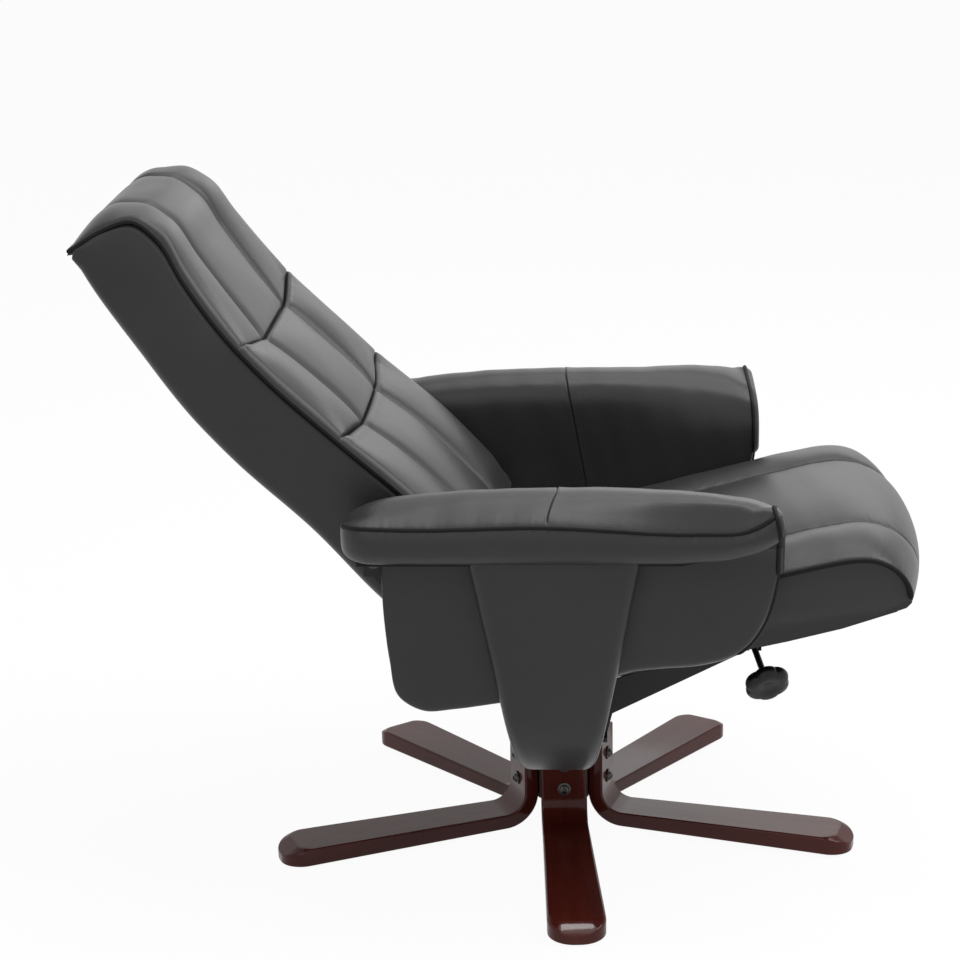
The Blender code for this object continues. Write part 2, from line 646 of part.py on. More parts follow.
def arm_section(x):
    """Outline of an arm pad across the chair, as (outward, up) from the arm's inner face, and its x places.

    In the middle it is a roll over the inner face with a lip outside. Towards the front it leans outwards,
    then thins to a flared edge whose top is set back.
    """
    ridge = float(height_on(ARM_RIDGE, x))
    piping = float(height_on(ARM_PIPING, x))
    lip = max(float(height_on(ARM_LIP_BOTTOM, x)), ARM_PAD_BOTTOM)
    edge = ARM_OUTER - ARM_INNER
    low = ARM_PAD_BOTTOM
    lean = ARM_RIDGE_LEAN * float(ease(x, ARM_LEAN_START, ARM_FLARE_START + 0.05))
    roll = [
        (0.0, low),
        (0.0, low + 0.55 * (ridge - low - 0.022 - 0.4 * lean)),
        (0.006 + 0.4 * lean, ridge - 0.024 - 0.4 * lean),
        (0.022 + 0.7 * lean, ridge - 0.006 - 0.3 * lean),
        (0.046 + lean, ridge),
        (0.074 + 0.6 * lean, ridge - 0.006 + 0.05 * lean),
        (edge - 0.012 + 0.25 * lean, 0.45 * ridge + 0.55 * piping),
        (edge, piping),
        (edge + 0.003, 0.65 * piping + 0.35 * lip),
        (edge - 0.001, lip + 0.010),
        (edge - 0.012, lip),
        (0.045, low),
    ]
    flare = [
        (0.008, low),
        (0.012, low + 0.017),
        (0.022, low + 0.034),
        (0.040, piping - 0.016),
        (0.060, piping - 0.006),
        (0.078, piping - 0.001),
        (edge - 0.012, piping),
        (edge - 0.006, piping - 0.002),
        (edge - 0.010, piping - 0.010),
        (0.066, piping - 0.022),
        (0.042, piping - 0.038),
        (0.024, low),
    ]
    share = max(0.0, (x - ARM_FLARE_START) / (ARM_FRONT - ARM_FLARE_START)) ** 3.5
    section = (1 - share) * np.array(roll) + share * np.array(flare)
    rise = np.clip((section[:, 1] - low) / (piping - low), 0, 1)
    return section, x - ARM_FRONT_SETBACK * share * rise**1.5


def arm_pad_shape(side):
    nose = ARM_REAR + ARM_REAR_ROUND
    stations = [ARM_REAR + ARM_REAR_ROUND * k for k in (0.004, 0.06, 0.2, 0.5)]
    stations += list(np.linspace(nose, ARM_FLARE_START, 7))
    stations += list(ARM_FLARE_START + (ARM_FRONT - ARM_FLARE_START) * np.array([0.3, 0.55, 0.75, 0.9, 1.0]))
    rings = []
    for x in stations:
        section, along = arm_section(x)
        if x < nose:
            share = math.sqrt(max(0.0, 1 - ((nose - x) / ARM_REAR_ROUND) ** 2))
            middle = np.array([0.5 * (ARM_OUTER - ARM_INNER), ARM_PAD_BOTTOM])
            shrink = np.array([0.35 + 0.65 * share, 0.45 + 0.55 * share])
            section = middle + (section - middle) * shrink
        rings.append([(at, side * (ARM_INNER + out), up) for at, (out, up) in zip(along, section)])
    return loft(rings)


def arm_panel_shape(side):
    """A padded side panel: its outline drawn in at both faces, so that its edges are round."""
    shares = np.linspace(0, 1, 34)
    outline = curve_through(ARM_PANEL_CORNERS[1:-1], shares)
    outline = np.vstack([ARM_PANEL_CORNERS[0], outline, ARM_PANEL_CORNERS[-1]])
    middle = outline.mean(axis=0)
    rings = []
    for depth, inset in ((0, 1), (0.3, 0.3), (1, 0), (-1, 0), (-0.3, 0.3), (0, 1)):
        inner = depth > 0 or (depth == 0 and not rings)
        near = depth if inner else ARM_PANEL_THICKNESS / ARM_PANEL_ROUND + depth
        y = ARM_INNER + near * ARM_PANEL_ROUND
        toward = middle - outline
        toward /= np.linalg.norm(toward, axis=1)[:, None]
        drawn = outline + toward * inset * ARM_PANEL_ROUND * 0.6
        drawn[:, 1] = np.where(outline[:, 1] >= ARM_PANEL_TOP - 1e-6, ARM_PANEL_TOP, drawn[:, 1])
        rings.append([(x, side * y, z) for x, z in drawn])
    return loft(rings)


def build_arms(steel, upholstery, board):
    for word, side in HIGH_SIDES:
        add_piece(f"arm_pad_{word}", arm_pad_shape(side), upholstery, swivel_axis, 60)
        add_piece(f"arm_panel_{word}", arm_panel_shape(side), upholstery, swivel_axis, 60)
        rear = PIVOT_X - PIVOT_BRACKET_WIDTH / 2
        edge = ARM_PANEL_OUTER + ARM_BOARD_OVERHANG
        strip = [
            (rear, side * (ARM_INNER + 0.004)),
            (ARM_BOARD_FRONT, side * (ARM_INNER + 0.010)),
            (ARM_BOARD_FRONT, side * (ARM_INNER + 0.022)),
            (ARM_BOARD_TAPER, side * edge),
            (rear, side * edge),
        ]
        top = ARM_BOARD_BOTTOM + ARM_BOARD_THICKNESS
        add_piece(f"arm_board_{word}", plate(strip, ARM_BOARD_BOTTOM, top, "z"), board, swivel_axis)
        inner, outer = PIVOT_BRACKET_INNER, PIVOT_BRACKET_OUTER
        high = ARM_BOARD_BOTTOM - GAP
        bent = [
            (side * inner, PIVOT_HEIGHT - PIVOT_BRACKET_DROP),
            (side * outer, PIVOT_HEIGHT - PIVOT_BRACKET_DROP),
            (side * outer, high - PIVOT_BRACKET_THICKNESS),
            (side * (inner + PIVOT_BRACKET_REACH), high - PIVOT_BRACKET_THICKNESS),
            (side * (inner + PIVOT_BRACKET_REACH), high),
            (side * inner, high),
        ]
        front = min(PIVOT_X + PIVOT_BRACKET_WIDTH / 2, ARM_PANEL_CORNERS[0][0] - GAP)
        bracket = add_piece(f"pivot_bracket_{word}", plate(bent, rear, front, "x"), steel, swivel_axis)
        hole = PIVOT_BOLT_RADIUS + PIVOT_RUNNING_GAP
        start = (PIVOT_X, side * (inner - 0.01), PIVOT_HEIGHT)
        end = (PIVOT_X, side * (outer + 0.01), PIVOT_HEIGHT)
        combine(bracket, rod(start, end, hole, 16))
        reach = outer + GAP - BACK_HALF_WIDTH - GAP
        bolt = [
            (0, -reach),
            (PIVOT_BOLT_RADIUS, -reach),
            (PIVOT_BOLT_RADIUS, 0),
            (0.0095, 0),
            (0.0095, 0.0015),
            (0.0070, 0.0018),
            (0.0060, 0.0042),
            (0.0030, 0.0052),
            (0.0026, 0.0034),
            (0, 0.0034),
        ]
        seat = (PIVOT_X, side * (outer + GAP), PIVOT_HEIGHT)
        add_piece(f"pivot_bolt_{word}", turned(bolt, 16, seat, (0, side, 0)), steel, swivel_axis)


def back_stations():
    """Shares along the back from its foot to its top, closer together at the cross seams and over the top."""
    first, second = BACK_SEAMS
    shares = [0, 0.04, 0.10, 0.17, 0.24, 0.30]
    for seam in (first, second):
        shares += [seam - 0.02, seam, seam + 0.02]
    shares += list(np.linspace(first + 0.05, second - 0.05, 4))
    shares += list(np.linspace(second + 0.05, 1, 13))
    return np.array(sorted(set(shares)))


def back_half_width(share):
    return BACK_HALF_WIDTH + (BACK_TOP_HALF_WIDTH - BACK_HALF_WIDTH) * ease(share, 0.60, 0.92)


def back_frame(shares):
    """Front point, outward direction and thickness of the back at shares along it."""
    front = curve_through(BACK_FRONT_LINE, shares)
    rear = curve_through(BACK_REAR_LINE, shares)
    thickness = np.linalg.norm(front - rear, axis=1)
    return front, (front - rear) / thickness[:, None], thickness


def back_crown(share, across):
    """Height of the padded front over the piping line: three rows of three puffs between sewn channels."""
    channel = BACK_CHANNEL / back_half_width(share)
    side = abs(across)
    if side < channel:
        dome, puff, lift = 1 - (side / channel) ** 2, BACK_PANEL_PUFF, 0.0
    else:
        place = (side - channel) / (1 - channel)
        dome, puff, lift = 4 * place * (1 - place), BACK_BOLSTER_PUFF, BACK_SEAM_LIFT * place
    edges = [-0.02, BACK_SEAMS[0] + lift, BACK_SEAMS[1] + lift, 1.02]
    row = int(np.clip(np.searchsorted(edges, share) - 1, 0, 2))
    place = np.clip((share - edges[row]) / (edges[row + 1] - edges[row]), 0, 1)
    swell = np.clip(4 * place * (1 - place), 0, 1) ** 0.45
    fade = ease(share, 1.0, 0.86) * ease(share, -0.01, 0.10)
    sunk = -BACK_VALLEY * (1 - side**8) * fade
    return sunk + puff * dome**0.6 * swell * (0.25 + 0.75 * fade)


def back_across():
    """Places across the back, closer together at the channels and at the edges."""
    channel = BACK_CHANNEL / BACK_HALF_WIDTH
    half = [0, 0.55 * channel, 0.86 * channel, channel, channel + 0.07, channel + 0.22]
    half += [0.78, 0.92, 0.985, 1.0]
    return np.array([-v for v in reversed(half[1:])] + half)


def back_shapes():
    """The padded front and the shell behind it, which meet at one bent face with a small gap."""
    shares = back_stations()
    fronts, outs, thicknesses = back_frame(shares)
    across = back_across()
    pad_rings, shell_rings = [], []
    for share, front, out, thickness in zip(shares, fronts, outs, thicknesses):
        half = float(back_half_width(share))

        def at(v, depth):
            return (front[0] + out[0] * depth, half * v, front[1] + out[1] * depth)

        pad = [at(v, back_crown(share, v)) for v in across]
        depth = min(BACK_PAD_DEPTH, 0.4 * thickness)
        pad += [at(1, -depth), at(-1, -depth)]
        pad_rings.append(pad)
        shell = [at(-1, -depth - GAP), at(1, -depth - GAP)]
        corner = min(BACK_REAR_CORNER, 0.4 * thickness)
        bends = ((1, corner), (1 - 0.3 * corner / half, 0.3 * corner), (1 - corner / half, 0))
        shell += [at(v, -thickness + up) for v, up in bends]
        shell += [at(-v, -thickness + up) for v, up in bends[::-1]]
        shell_rings.append(shell)
    return loft(pad_rings), loft(shell_rings)


def link_plate_outline():
    """Side plate from the pivot to the seat pin: two round ends and straight edges, drawn as one hull."""
    start = np.array([PIVOT_X, PIVOT_HEIGHT])
    end = np.array([SEAT_PIN_X, SEAT_PIN_HEIGHT])
    direction = (end - start) / np.linalg.norm(end - start)
    side = np.array([-direction[1], direction[0]])
    points = []
    for centre, away in ((end, direction), (start, -direction)):
        lift = side if centre is end else -side
        for a in np.linspace(-math.pi / 2, math.pi / 2, 9):
            points.append(centre + LINK_PLATE_END * (away * math.cos(a) + lift * math.sin(a)))
    return np.array(points)


def slot_outline(near, far, radius):
    """A slot along the plate, between two distances from the pivot."""
    direction = np.array([math.sin(SEAT_PIN_ANGLE), -math.cos(SEAT_PIN_ANGLE)])
    side = np.array([-direction[1], direction[0]])
    pivot = np.array([PIVOT_X, PIVOT_HEIGHT])
    points = []
    for reach, sign in ((far, 1), (near, -1)):
        for a in np.linspace(-math.pi / 2, math.pi / 2, 7):
            away = sign * (direction * math.cos(a) + side * math.sin(a))
            points.append(pivot + direction * reach + radius * away)
    return np.array(points)


def build_back(steel, upholstery):
    pad, shell = back_shapes()
    add_piece("back_cushion", pad, upholstery, recline_axis, 70)
    add_piece("back_shell", shell, upholstery, recline_axis, 60)
    for word, side in HIGH_SIDES:
        edges = sorted((side * LINK_PLATE_INNER, side * LINK_PLATE_OUTER))
        link = add_piece(f"recline_plate_{word}", plate(link_plate_outline(), *edges), steel, recline_axis)
        low, high = edges[0] - 0.01, edges[1] + 0.01
        hole = PIVOT_BOLT_RADIUS + PIVOT_RUNNING_GAP
        combine(link, rod((PIVOT_X, low, PIVOT_HEIGHT), (PIVOT_X, high, PIVOT_HEIGHT), hole, 16))
        half = SEAT_PIN_RADIUS + SEAT_PIN_SIDE_GAP
        near = LINK_ARM - SEAT_PIN_END_GAP
        far = SEAT_PIN_REACH + SEAT_PIN_END_GAP
        combine(link, plate(slot_outline(near, far, half), low, high))


def seat_bottom(x):
    """Height of the seat's underside, which slopes up to the front and turns up under the front edge."""
    x = np.asarray(x, float)
    line = SEAT_BOTTOM_HEIGHT + SEAT_BOTTOM_SLOPE * (x - SEAT_BOTTOM_AT)
    return line + SEAT_UPTURN * np.clip(x - SEAT_UPTURN_AT, 0, None) ** 2


def pan_stations():
    """Places along the pan, shared by the underside of the padding so that the two faces match."""
    return np.linspace(SEAT_REAR + 0.005, SEAT_FRONT - PAN_FRONT_INSET, 8)


def seat_crown(across):
    """Height added to the edge line across the seat: a channel each side of a middle panel, rolls outside."""
    channel = SEAT_CHANNEL / SEAT_HALF_WIDTH
    side = abs(across)
    if side < channel:
        return SEAT_CHANNEL_RISE + SEAT_PUFF * 0.9 * (1 - (side / channel) ** 2) ** 0.6
    place = (side - channel) / (1 - channel)
    return SEAT_CHANNEL_RISE * (1 - place**2) + SEAT_PUFF * (4 * place * (1 - place)) ** 0.6


def seat_ring(across):
    """Side view of the seat at one place across it: top, rolled front, underside and rear."""
    rise = seat_crown(across)
    front = SEAT_FRONT - SEAT_FRONT_SWEEP * across**2
    back = np.linspace(SEAT_REAR, SEAT_CREST, 9)
    dip = np.sqrt((SEAT_CREST - back) ** 2 + SEAT_TOP_EASE**2) - SEAT_TOP_EASE
    top = np.column_stack([back, SEAT_CREST_HEIGHT - SEAT_TOP_SLOPE * dip + rise])
    lowest = float(seat_bottom(front)) + 0.004
    turn = np.linspace(0, math.pi / 2, 10)[1:]
    roll = np.column_stack(
        [
            SEAT_CREST + (front - SEAT_CREST) * np.sin(turn),
            lowest + (SEAT_CREST_HEIGHT + rise - lowest) * np.cos(turn),
        ]
    )
    under = np.concatenate([[front - 0.006], pan_stations()[::-1], [SEAT_REAR]])
    bottom = np.column_stack([under, seat_bottom(under)])
    return [(x, SEAT_HALF_WIDTH * across, z) for x, z in np.vstack([top, roll, bottom])]


def seat_shape():
    channel = SEAT_CHANNEL / SEAT_HALF_WIDTH
    half = [0, 0.4 * channel, 0.75 * channel, 0.93 * channel, channel, channel + 0.04, channel + 0.13]
    half += [0.80, 0.90, 0.97, 1.0]
    across = [-v for v in reversed(half[1:])] + half
    return loft([seat_ring(v) for v in across])


def runner_outline():
    """A web from the pan's underside down to the shoes: level with the pan above, with the rail below."""
    low = RAIL_WALL + GAP + SHOE_HEIGHT + GAP
    rear, front = rail_point(RUNNER_REAR, low), rail_point(RUNNER_FRONT, low)
    under = PAN_THICKNESS + 2 * GAP
    tops = np.linspace(front[0], rear[0], 4)
    return [rear, front] + [(x, float(seat_bottom(x)) - under) for x in tops]


def seat_bracket_outline():
    """A plate from under the pan back to the seat pin."""
    points = [
        (SEAT_PIN_X + 0.013 * math.cos(a), SEAT_PIN_HEIGHT + 0.013 * math.sin(a))
        for a in np.linspace(math.radians(48), math.radians(235), 9)
    ]
    rear = SEAT_REAR + 0.004
    front = rear + SEAT_BRACKET_FOOT
    under = PAN_THICKNESS + 2 * GAP
    points.append((rear, float(seat_bottom(rear)) - under - SEAT_BRACKET_DEPTH))
    points.append((front, float(seat_bottom(front)) - under - 0.5 * SEAT_BRACKET_DEPTH))
    points.append((front, float(seat_bottom(front)) - under))
    points.append((rear, float(seat_bottom(rear)) - under))
    return points


def build_seat(steel, upholstery, board, nylon):
    add_piece("seat_cushion", seat_shape(), upholstery, seat_slide, 70)
    along = pan_stations()
    top = np.column_stack([along, seat_bottom(along) - GAP])
    under = np.column_stack([along, seat_bottom(along) - GAP - PAN_THICKNESS])[::-1]
    half = SEAT_HALF_WIDTH - PAN_INSET
    add_piece("seat_pan", plate(np.vstack([top, under]), -half, half), board, seat_slide)
    for word, side in HIGH_SIDES:
        edges = sorted((side * RAIL_SIDE - RUNNER_THICKNESS / 2, side * RAIL_SIDE + RUNNER_THICKNESS / 2))
        add_piece(f"runner_{word}", plate(runner_outline(), *edges), steel, seat_slide)
        wide = RAIL_WIDTH / 2 - RAIL_WALL - SHOE_SIDE_CLEARANCE
        for number, station in zip(("rear", "front"), SHOE_STATIONS):
            low = RAIL_WALL + GAP
            corners = [
                rail_point(station - SHOE_LENGTH / 2, low),
                rail_point(station + SHOE_LENGTH / 2, low),
                rail_point(station + SHOE_LENGTH / 2, low + SHOE_HEIGHT),
                rail_point(station - SHOE_LENGTH / 2, low + SHOE_HEIGHT),
            ]
            shoe = plate(corners, side * RAIL_SIDE - wide, side * RAIL_SIDE + wide)
            add_piece(f"slide_shoe_{word}_{number}", shoe, nylon, seat_slide)
        outer = BACK_HALF_WIDTH - SEAT_BRACKET_INSET
        inner = outer - SEAT_BRACKET_THICKNESS
        edges = sorted((side * inner, side * outer))
        bracket = add_piece(f"seat_bracket_{word}", plate(seat_bracket_outline(), *edges), steel, seat_slide)
        start = (SEAT_PIN_X, side * (inner + outer) / 2, SEAT_PIN_HEIGHT)
        end = (SEAT_PIN_X, side * (LINK_PLATE_OUTER + 0.003), SEAT_PIN_HEIGHT)
        combine(bracket, rod(start, end, SEAT_PIN_RADIUS, 16), "UNION")


def build_knob(steel, plastic):
    """A lobed clamp knob on a rod that runs up between the fingers of a fork under the pan."""
    turn = Vector((0, 0, 1)).rotation_difference(Vector(KNOB_AXIS))
    basis = np.array(turn.to_matrix())
    centre = np.array(KNOB_CENTRE)
    angles = np.linspace(0, 2 * math.pi, 6 * KNOB_LOBES, endpoint=False)
    lobed = KNOB_RADIUS - KNOB_LOBE_DEPTH * (1 - np.cos(KNOB_LOBES * angles))
    half = KNOB_THICKNESS / 2
    rings = []
    profile = [(0.42, -half), (0.86, -half + 0.002), (1, -half + 0.007)]
    profile += [(1, half - 0.008), (0.88, half - 0.002), (0.5, half)]
    for share, height in profile:
        reach = share * lobed
        level = np.full(len(angles), height)
        flat = np.column_stack([reach * np.cos(angles), reach * np.sin(angles), level])
        rings.append(flat @ basis.T + centre)
    add_piece("clamp_knob", loft(rings), plastic, knob_axis)
    direction = np.array(Vector(KNOB_AXIS).normalized())
    start = centre - direction * (half + GAP)
    tip = start - direction * KNOB_ROD_LENGTH
    add_piece("clamp_rod", rod(start, tip, KNOB_ROD_RADIUS, 12), steel, knob_axis)
    entry = tip + direction * 0.030
    under = PAN_THICKNESS + 2 * GAP
    reach = 1.05 * KNOB_ROD_RADIUS + FORK_LENGTH / 2 * abs(KNOB_AXIS[0] / KNOB_AXIS[1]) + GAP
    places = entry[0] + np.array([-reach - FORK_FINGER, -reach, reach, reach + FORK_FINGER])
    tops = seat_bottom(places) - under
    low = tops.min() - FORK_DEPTH
    fork = [(places[0], tops[0]), (places[3], tops[3]), (places[3], low), (places[2], low)]
    fork += [(places[2], tops[2] - FORK_WEB), (places[1], tops[1] - FORK_WEB)]
    fork += [(places[1], low), (places[0], low)]
    ends = (entry[1] - FORK_LENGTH / 2, entry[1] + FORK_LENGTH / 2)
    add_piece("clamp_fork", plate(fork, *ends), steel, seat_slide)


clear_scene()
charcoal = make_material("charcoal upholstery", (0.028, 0.028, 0.029), 0.45)
mahogany = make_material("mahogany lacquer", (0.075, 0.018, 0.014), 0.22)
black_steel = make_material("black steel", (0.012, 0.012, 0.012), 0.40, 1.0)
black_board = make_material("black board", (0.015, 0.015, 0.015), 0.65)
white_nylon = make_material("grey nylon", (0.18, 0.18, 0.18), 0.50)
black_plastic = make_material("black plastic", (0.014, 0.014, 0.014), 0.38)
brown_felt = make_material("brown felt", (0.060, 0.040, 0.030), 0.95)

chair = make_axis("chair", (SWIVEL_X, SWIVEL_Y, 0))
chair_place = chair.matrix_basis.copy()
swivel_axis = make_axis("swivel_axis", (SWIVEL_X, SWIVEL_Y, 0), chair)
recline_axis = make_axis("recline_axis", (SWIVEL_X + PIVOT_X, SWIVEL_Y, PIVOT_HEIGHT), swivel_axis)
seat_slide = make_axis("seat_slide", (SWIVEL_X + RAIL_REAR, SWIVEL_Y, RAIL_REAR_HEIGHT), swivel_axis)
knob_turn = Vector((0, 0, 1)).rotation_difference(Vector(KNOB_AXIS))
knob_place = (SWIVEL_X + KNOB_CENTRE[0], SWIVEL_Y + KNOB_CENTRE[1], KNOB_CENTRE[2])
knob_axis = make_axis("knob_axis", knob_place, seat_slide, knob_turn)

build_base(mahogany, black_steel, white_nylon, brown_felt)
build_swivel(black_steel, charcoal)
build_arms(black_steel, charcoal, black_board)
build_back(black_steel, charcoal)
build_seat(black_steel, charcoal, black_board, white_nylon)
build_knob(black_steel, black_plastic)
print(f"seat travel {1000 * SEAT_TRAVEL:.2f} mm, ratio {-SEAT_TRAVEL / RECLINE_RANGE:.6f} m per rad")
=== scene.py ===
"""Looks of the reclining swivel armchair: sewn upholstery, lacquered bentwood, black steel, studio and camera."""

import json
import math

import bmesh
import bpy
import numpy as np
from mathutils import Matrix, Vector


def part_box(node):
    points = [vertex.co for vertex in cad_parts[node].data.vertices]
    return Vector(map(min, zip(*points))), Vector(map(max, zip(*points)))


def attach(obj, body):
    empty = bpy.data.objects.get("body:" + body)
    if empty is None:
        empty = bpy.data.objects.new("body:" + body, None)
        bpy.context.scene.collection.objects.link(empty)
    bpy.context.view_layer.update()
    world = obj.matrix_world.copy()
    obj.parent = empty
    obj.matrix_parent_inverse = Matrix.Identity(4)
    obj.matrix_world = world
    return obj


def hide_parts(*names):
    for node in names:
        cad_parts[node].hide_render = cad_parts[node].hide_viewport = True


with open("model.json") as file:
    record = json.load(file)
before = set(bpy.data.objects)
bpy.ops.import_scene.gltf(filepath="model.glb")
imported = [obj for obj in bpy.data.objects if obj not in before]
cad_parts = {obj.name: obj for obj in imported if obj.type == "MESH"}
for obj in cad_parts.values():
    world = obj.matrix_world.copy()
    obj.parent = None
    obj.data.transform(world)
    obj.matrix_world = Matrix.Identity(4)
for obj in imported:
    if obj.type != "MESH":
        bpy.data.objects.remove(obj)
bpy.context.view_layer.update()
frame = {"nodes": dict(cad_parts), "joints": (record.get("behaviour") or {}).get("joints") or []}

# Places, in metres, with outlines about the swivel axis as in the part's source
JOINTS = {joint["name"]: joint for joint in frame["joints"]}
SWIVEL = np.array(JOINTS["swivel"]["pos_m"]) * (1, 1, 0)
SIDES = (("left", 1.0), ("right", -1.0))

# Camera, fitted to the leg tips and the chair's edges
CAMERA_FROM_SWIVEL = (0.0702, -3.2994, 1.4001)
CAMERA_YAW, CAMERA_PITCH, CAMERA_ROLL = (math.radians(a) for a in (-3.0, 15.68, -0.97))
CAMERA_LENS = 99.5
CAMERA_SENSOR = 36.0

# Back
BACK_FRONT_LINE = [(-0.072, 0.405), (-0.175, 0.514), (-0.261, 0.590), (-0.345, 0.668), (-0.397, 0.726)]
BACK_FRONT_LINE += [(-0.440, 0.782), (-0.473, 0.832), (-0.500, 0.850), (-0.536, 0.841), (-0.573, 0.8185)]
BACK_REAR_LINE = [(-0.155, 0.331), (-0.219, 0.391), (-0.293, 0.472), (-0.387, 0.560)]
BACK_REAR_LINE += [(-0.490, 0.678), (-0.551, 0.757), (-0.5775, 0.803)]
BACK_HALF_WIDTH, BACK_TOP_HALF_WIDTH = 0.240, 0.200
BACK_CHANNEL = [(0.0, 0.088), (0.35, 0.092), (0.56, 0.105), (0.80, 0.110), (1.0, 0.104)]
BACK_SEAMS = (0.345, 0.575)
BACK_SEAM_LIFT = 0.030
BACK_BOLSTER_PUFF, BACK_PANEL_PUFF = 0.018, 0.016
BACK_PAD_SINK, BACK_PAD_INSET = 0.013, 0.004
BACK_HEAD_AT, BACK_HEAD_RISE, BACK_HEAD_SPREAD, BACK_NOSE = 0.963, 0.0215, 0.058, 0.0375
BACK_LIP, BACK_BEAD = (-0.0075, -0.0040), 0.0027
BACK_LENGTH, BACK_ROW, BACK_COLUMN = 0.76, 0.1748, 0.13
BACK_GROOVE, BACK_VALLEY, BACK_LAP, BACK_STUFFING = (0.0046, 0.0045), 0.0036, 0.0009, 0.006
BACK_CORNER, BACK_SIDE_SWELL, BACK_REAR_SWELL = 0.018, 0.003, 0.004
FLAP_TOP, FLAP_FOOT, FLAP_SQUARE = np.array([(-0.120, 0.372), (-0.0745, 0.3285), (0.69, 0.72)])
FLAP_HALF_WIDTH, FLAP_HALF_THICKNESS, FLAP_SAG = 0.205, 0.0014, 0.005

# Seat
SEAT_HALF_WIDTH = 0.253
SEAT_REAR, SEAT_CREST, SEAT_FRONT, SEAT_FRONT_SWEEP = -0.054, 0.370, 0.457, 0.030
SEAT_CREST_HEIGHT, SEAT_TOP_SLOPE, SEAT_TOP_EASE = 0.442, 0.26, 0.030
SEAT_BOTTOM_HEIGHT, SEAT_BOTTOM_AT, SEAT_BOTTOM_SLOPE = 0.296, 0.078, 0.222
SEAT_UPTURN_AT, SEAT_UPTURN = 0.290, 0.61
SEAT_CHANNEL, SEAT_CHANNEL_RISE, SEAT_PUFF = 0.145, 0.012, 0.012
SEAT_FRONT_LIFT, SEAT_FRONT_TUCK, SEAT_GROOVE, SEAT_STUFFING = 0.004, 0.006, 0.0050, 0.005

# Arms
ARM_INNER, ARM_PANEL_THICKNESS, ARM_LIP_REACH = 0.262, 0.038, 0.105
ARM_REAR, ARM_FRONT, ARM_PANEL_REAR = -0.250, 0.2715, -0.207
ARM_SPLIT = 0.469
ARM_RIDGE = [(-0.250, 0.519), (-0.217, 0.530), (-0.120, 0.543), (0.0, 0.547)]
ARM_RIDGE += [(0.100, 0.547), (0.194, 0.546), (0.240, 0.544), (0.272, 0.538)]
ARM_PIPING = [(-0.250, 0.518), (-0.177, 0.5155), (0.0, 0.518), (0.169, 0.510), (0.226, 0.513), (0.272, 0.535)]
ARM_LIP = [(-0.250, 0.470), (0.150, 0.470), (0.204, 0.474), (0.240, 0.484), (0.272, 0.499)]
ARM_PANEL_FOOT = [(-0.207, 0.462), (-0.205, 0.371), (-0.200, 0.325), (-0.190, 0.281), (-0.160, 0.263), (-0.120, 0.266)]
ARM_PANEL_FOOT += [(0.080, 0.311), (0.234, 0.350), (0.251, 0.380), (0.2595, 0.408), (0.2635, 0.434)]
ARM_RIDGE_LEAN, ARM_FLARE_START = 0.022, 0.160
ARM_CORNER_HEIGHT, ARM_SETBACK, ARM_FACE = 0.540, 0.011, 0.2635
ARM_SEAM, ARM_SEAM_REACH, ARM_NOSE, ARM_NOSE_AT = 0.004, 0.016, 0.036, (0.052, 0.033)
ARM_CONTROLS, ARM_EDGE_CONTROL, ARM_FOOT_CONTROL, ARM_RING = 24, 11, 22, 6
ARM_PIPING_RADIUS, ARM_PIPING_STEP, ARM_FACE_ROUND, ARM_SETBACK_FOOT = 0.0028, 0.0035, 0.009, 0.462

# Uprights
UPRIGHT_INNER, UPRIGHT_THICKNESS, UPRIGHT_BEND = 0.3003, 0.035, 0.090
UPRIGHT_TOP_WIDTH, UPRIGHT_FOOT_WIDTH, UPRIGHT_LEAN = 0.207, 0.094, 0.008
UPRIGHT_UNDER_ARM, UPRIGHT_FOOT_END = 0.007, 0.060
UPRIGHT_INNER_EDGE, UPRIGHT_OUTER_EDGE, UPRIGHT_SWELL = 0.012, 0.0165, 0.0022

# Rails
RAIL_SLOPE, RAIL_REAR, RAIL_REAR_HEIGHT, RAIL_FACE = math.radians(26.5), 0.054, 0.192, 0.1255
WEB_OUTLINE = [(0.003, 0.001), (0.098, 0.001), (0.193, 0.001), (0.194, 0.002), (0.194, 0.014), (0.192, 0.0155)]
WEB_OUTLINE += [(0.150, 0.0190), (0.092, 0.0320), (0.036, 0.0420), (0.030, 0.0425), (0.018, 0.0425), (0.012, 0.0410)]
WEB_OUTLINE += [(0.009, 0.037), (0.002, 0.002)]
WEB_RINGS = [(0.0, 1.0), (0.0022, 1.0), (0.0030, 0.985)]

# Legs
LEG_COUNT, LEG_TURN, LEG_REACH = 5, math.radians(-86.2), 0.390
LEG_TIP_WIDTH, LEG_ROOT_WIDTH = 0.073, 0.060
LEG_TIP_THICKNESS, LEG_ROOT_THICKNESS = 0.024, 0.019
LEG_RISE, LEG_BEND_RADIUS, LEG_TAB_FACE, LEG_TAB_TOP = 0.006, 0.037, 0.0438, 0.136
LEG_TIP_CORNER, LEG_TIP_BEVEL, LEG_TOP_CORNER, GLIDE_HEIGHT = 0.031, 0.019, (0.018, 0.034), 0.003
LEG_EDGE, LEG_TAB_ROUND, LEG_TAB_NARROW = 0.0026, 0.0035, 0.004
LEG_BEVEL_SLOPE, LEG_BEVEL_BEND, LEG_BEVEL_EDGE = 0.58, 4.0, 0.0010

# Clamp knob
KNOB_AXIS = JOINTS["clamp_turn"]["axis"]
KNOB_CENTRE = np.array(JOINTS["clamp_turn"]["pos_m"])
KNOB_RADIUS, KNOB_THICKNESS, KNOB_LOBES, KNOB_LOBE_DEPTH = 0.0285, 0.019, 6, 0.0016
KNOB_PROFILE = [(0.30, -0.62), (0.34, -0.50), (0.62, -0.42), (0.90, -0.34), (1.0, -0.10), (0.99, 0.16)]
KNOB_PROFILE += [(0.90, 0.36), (0.70, 0.48), (0.40, 0.46), (0.22, 0.40), (0.02, 0.385)]

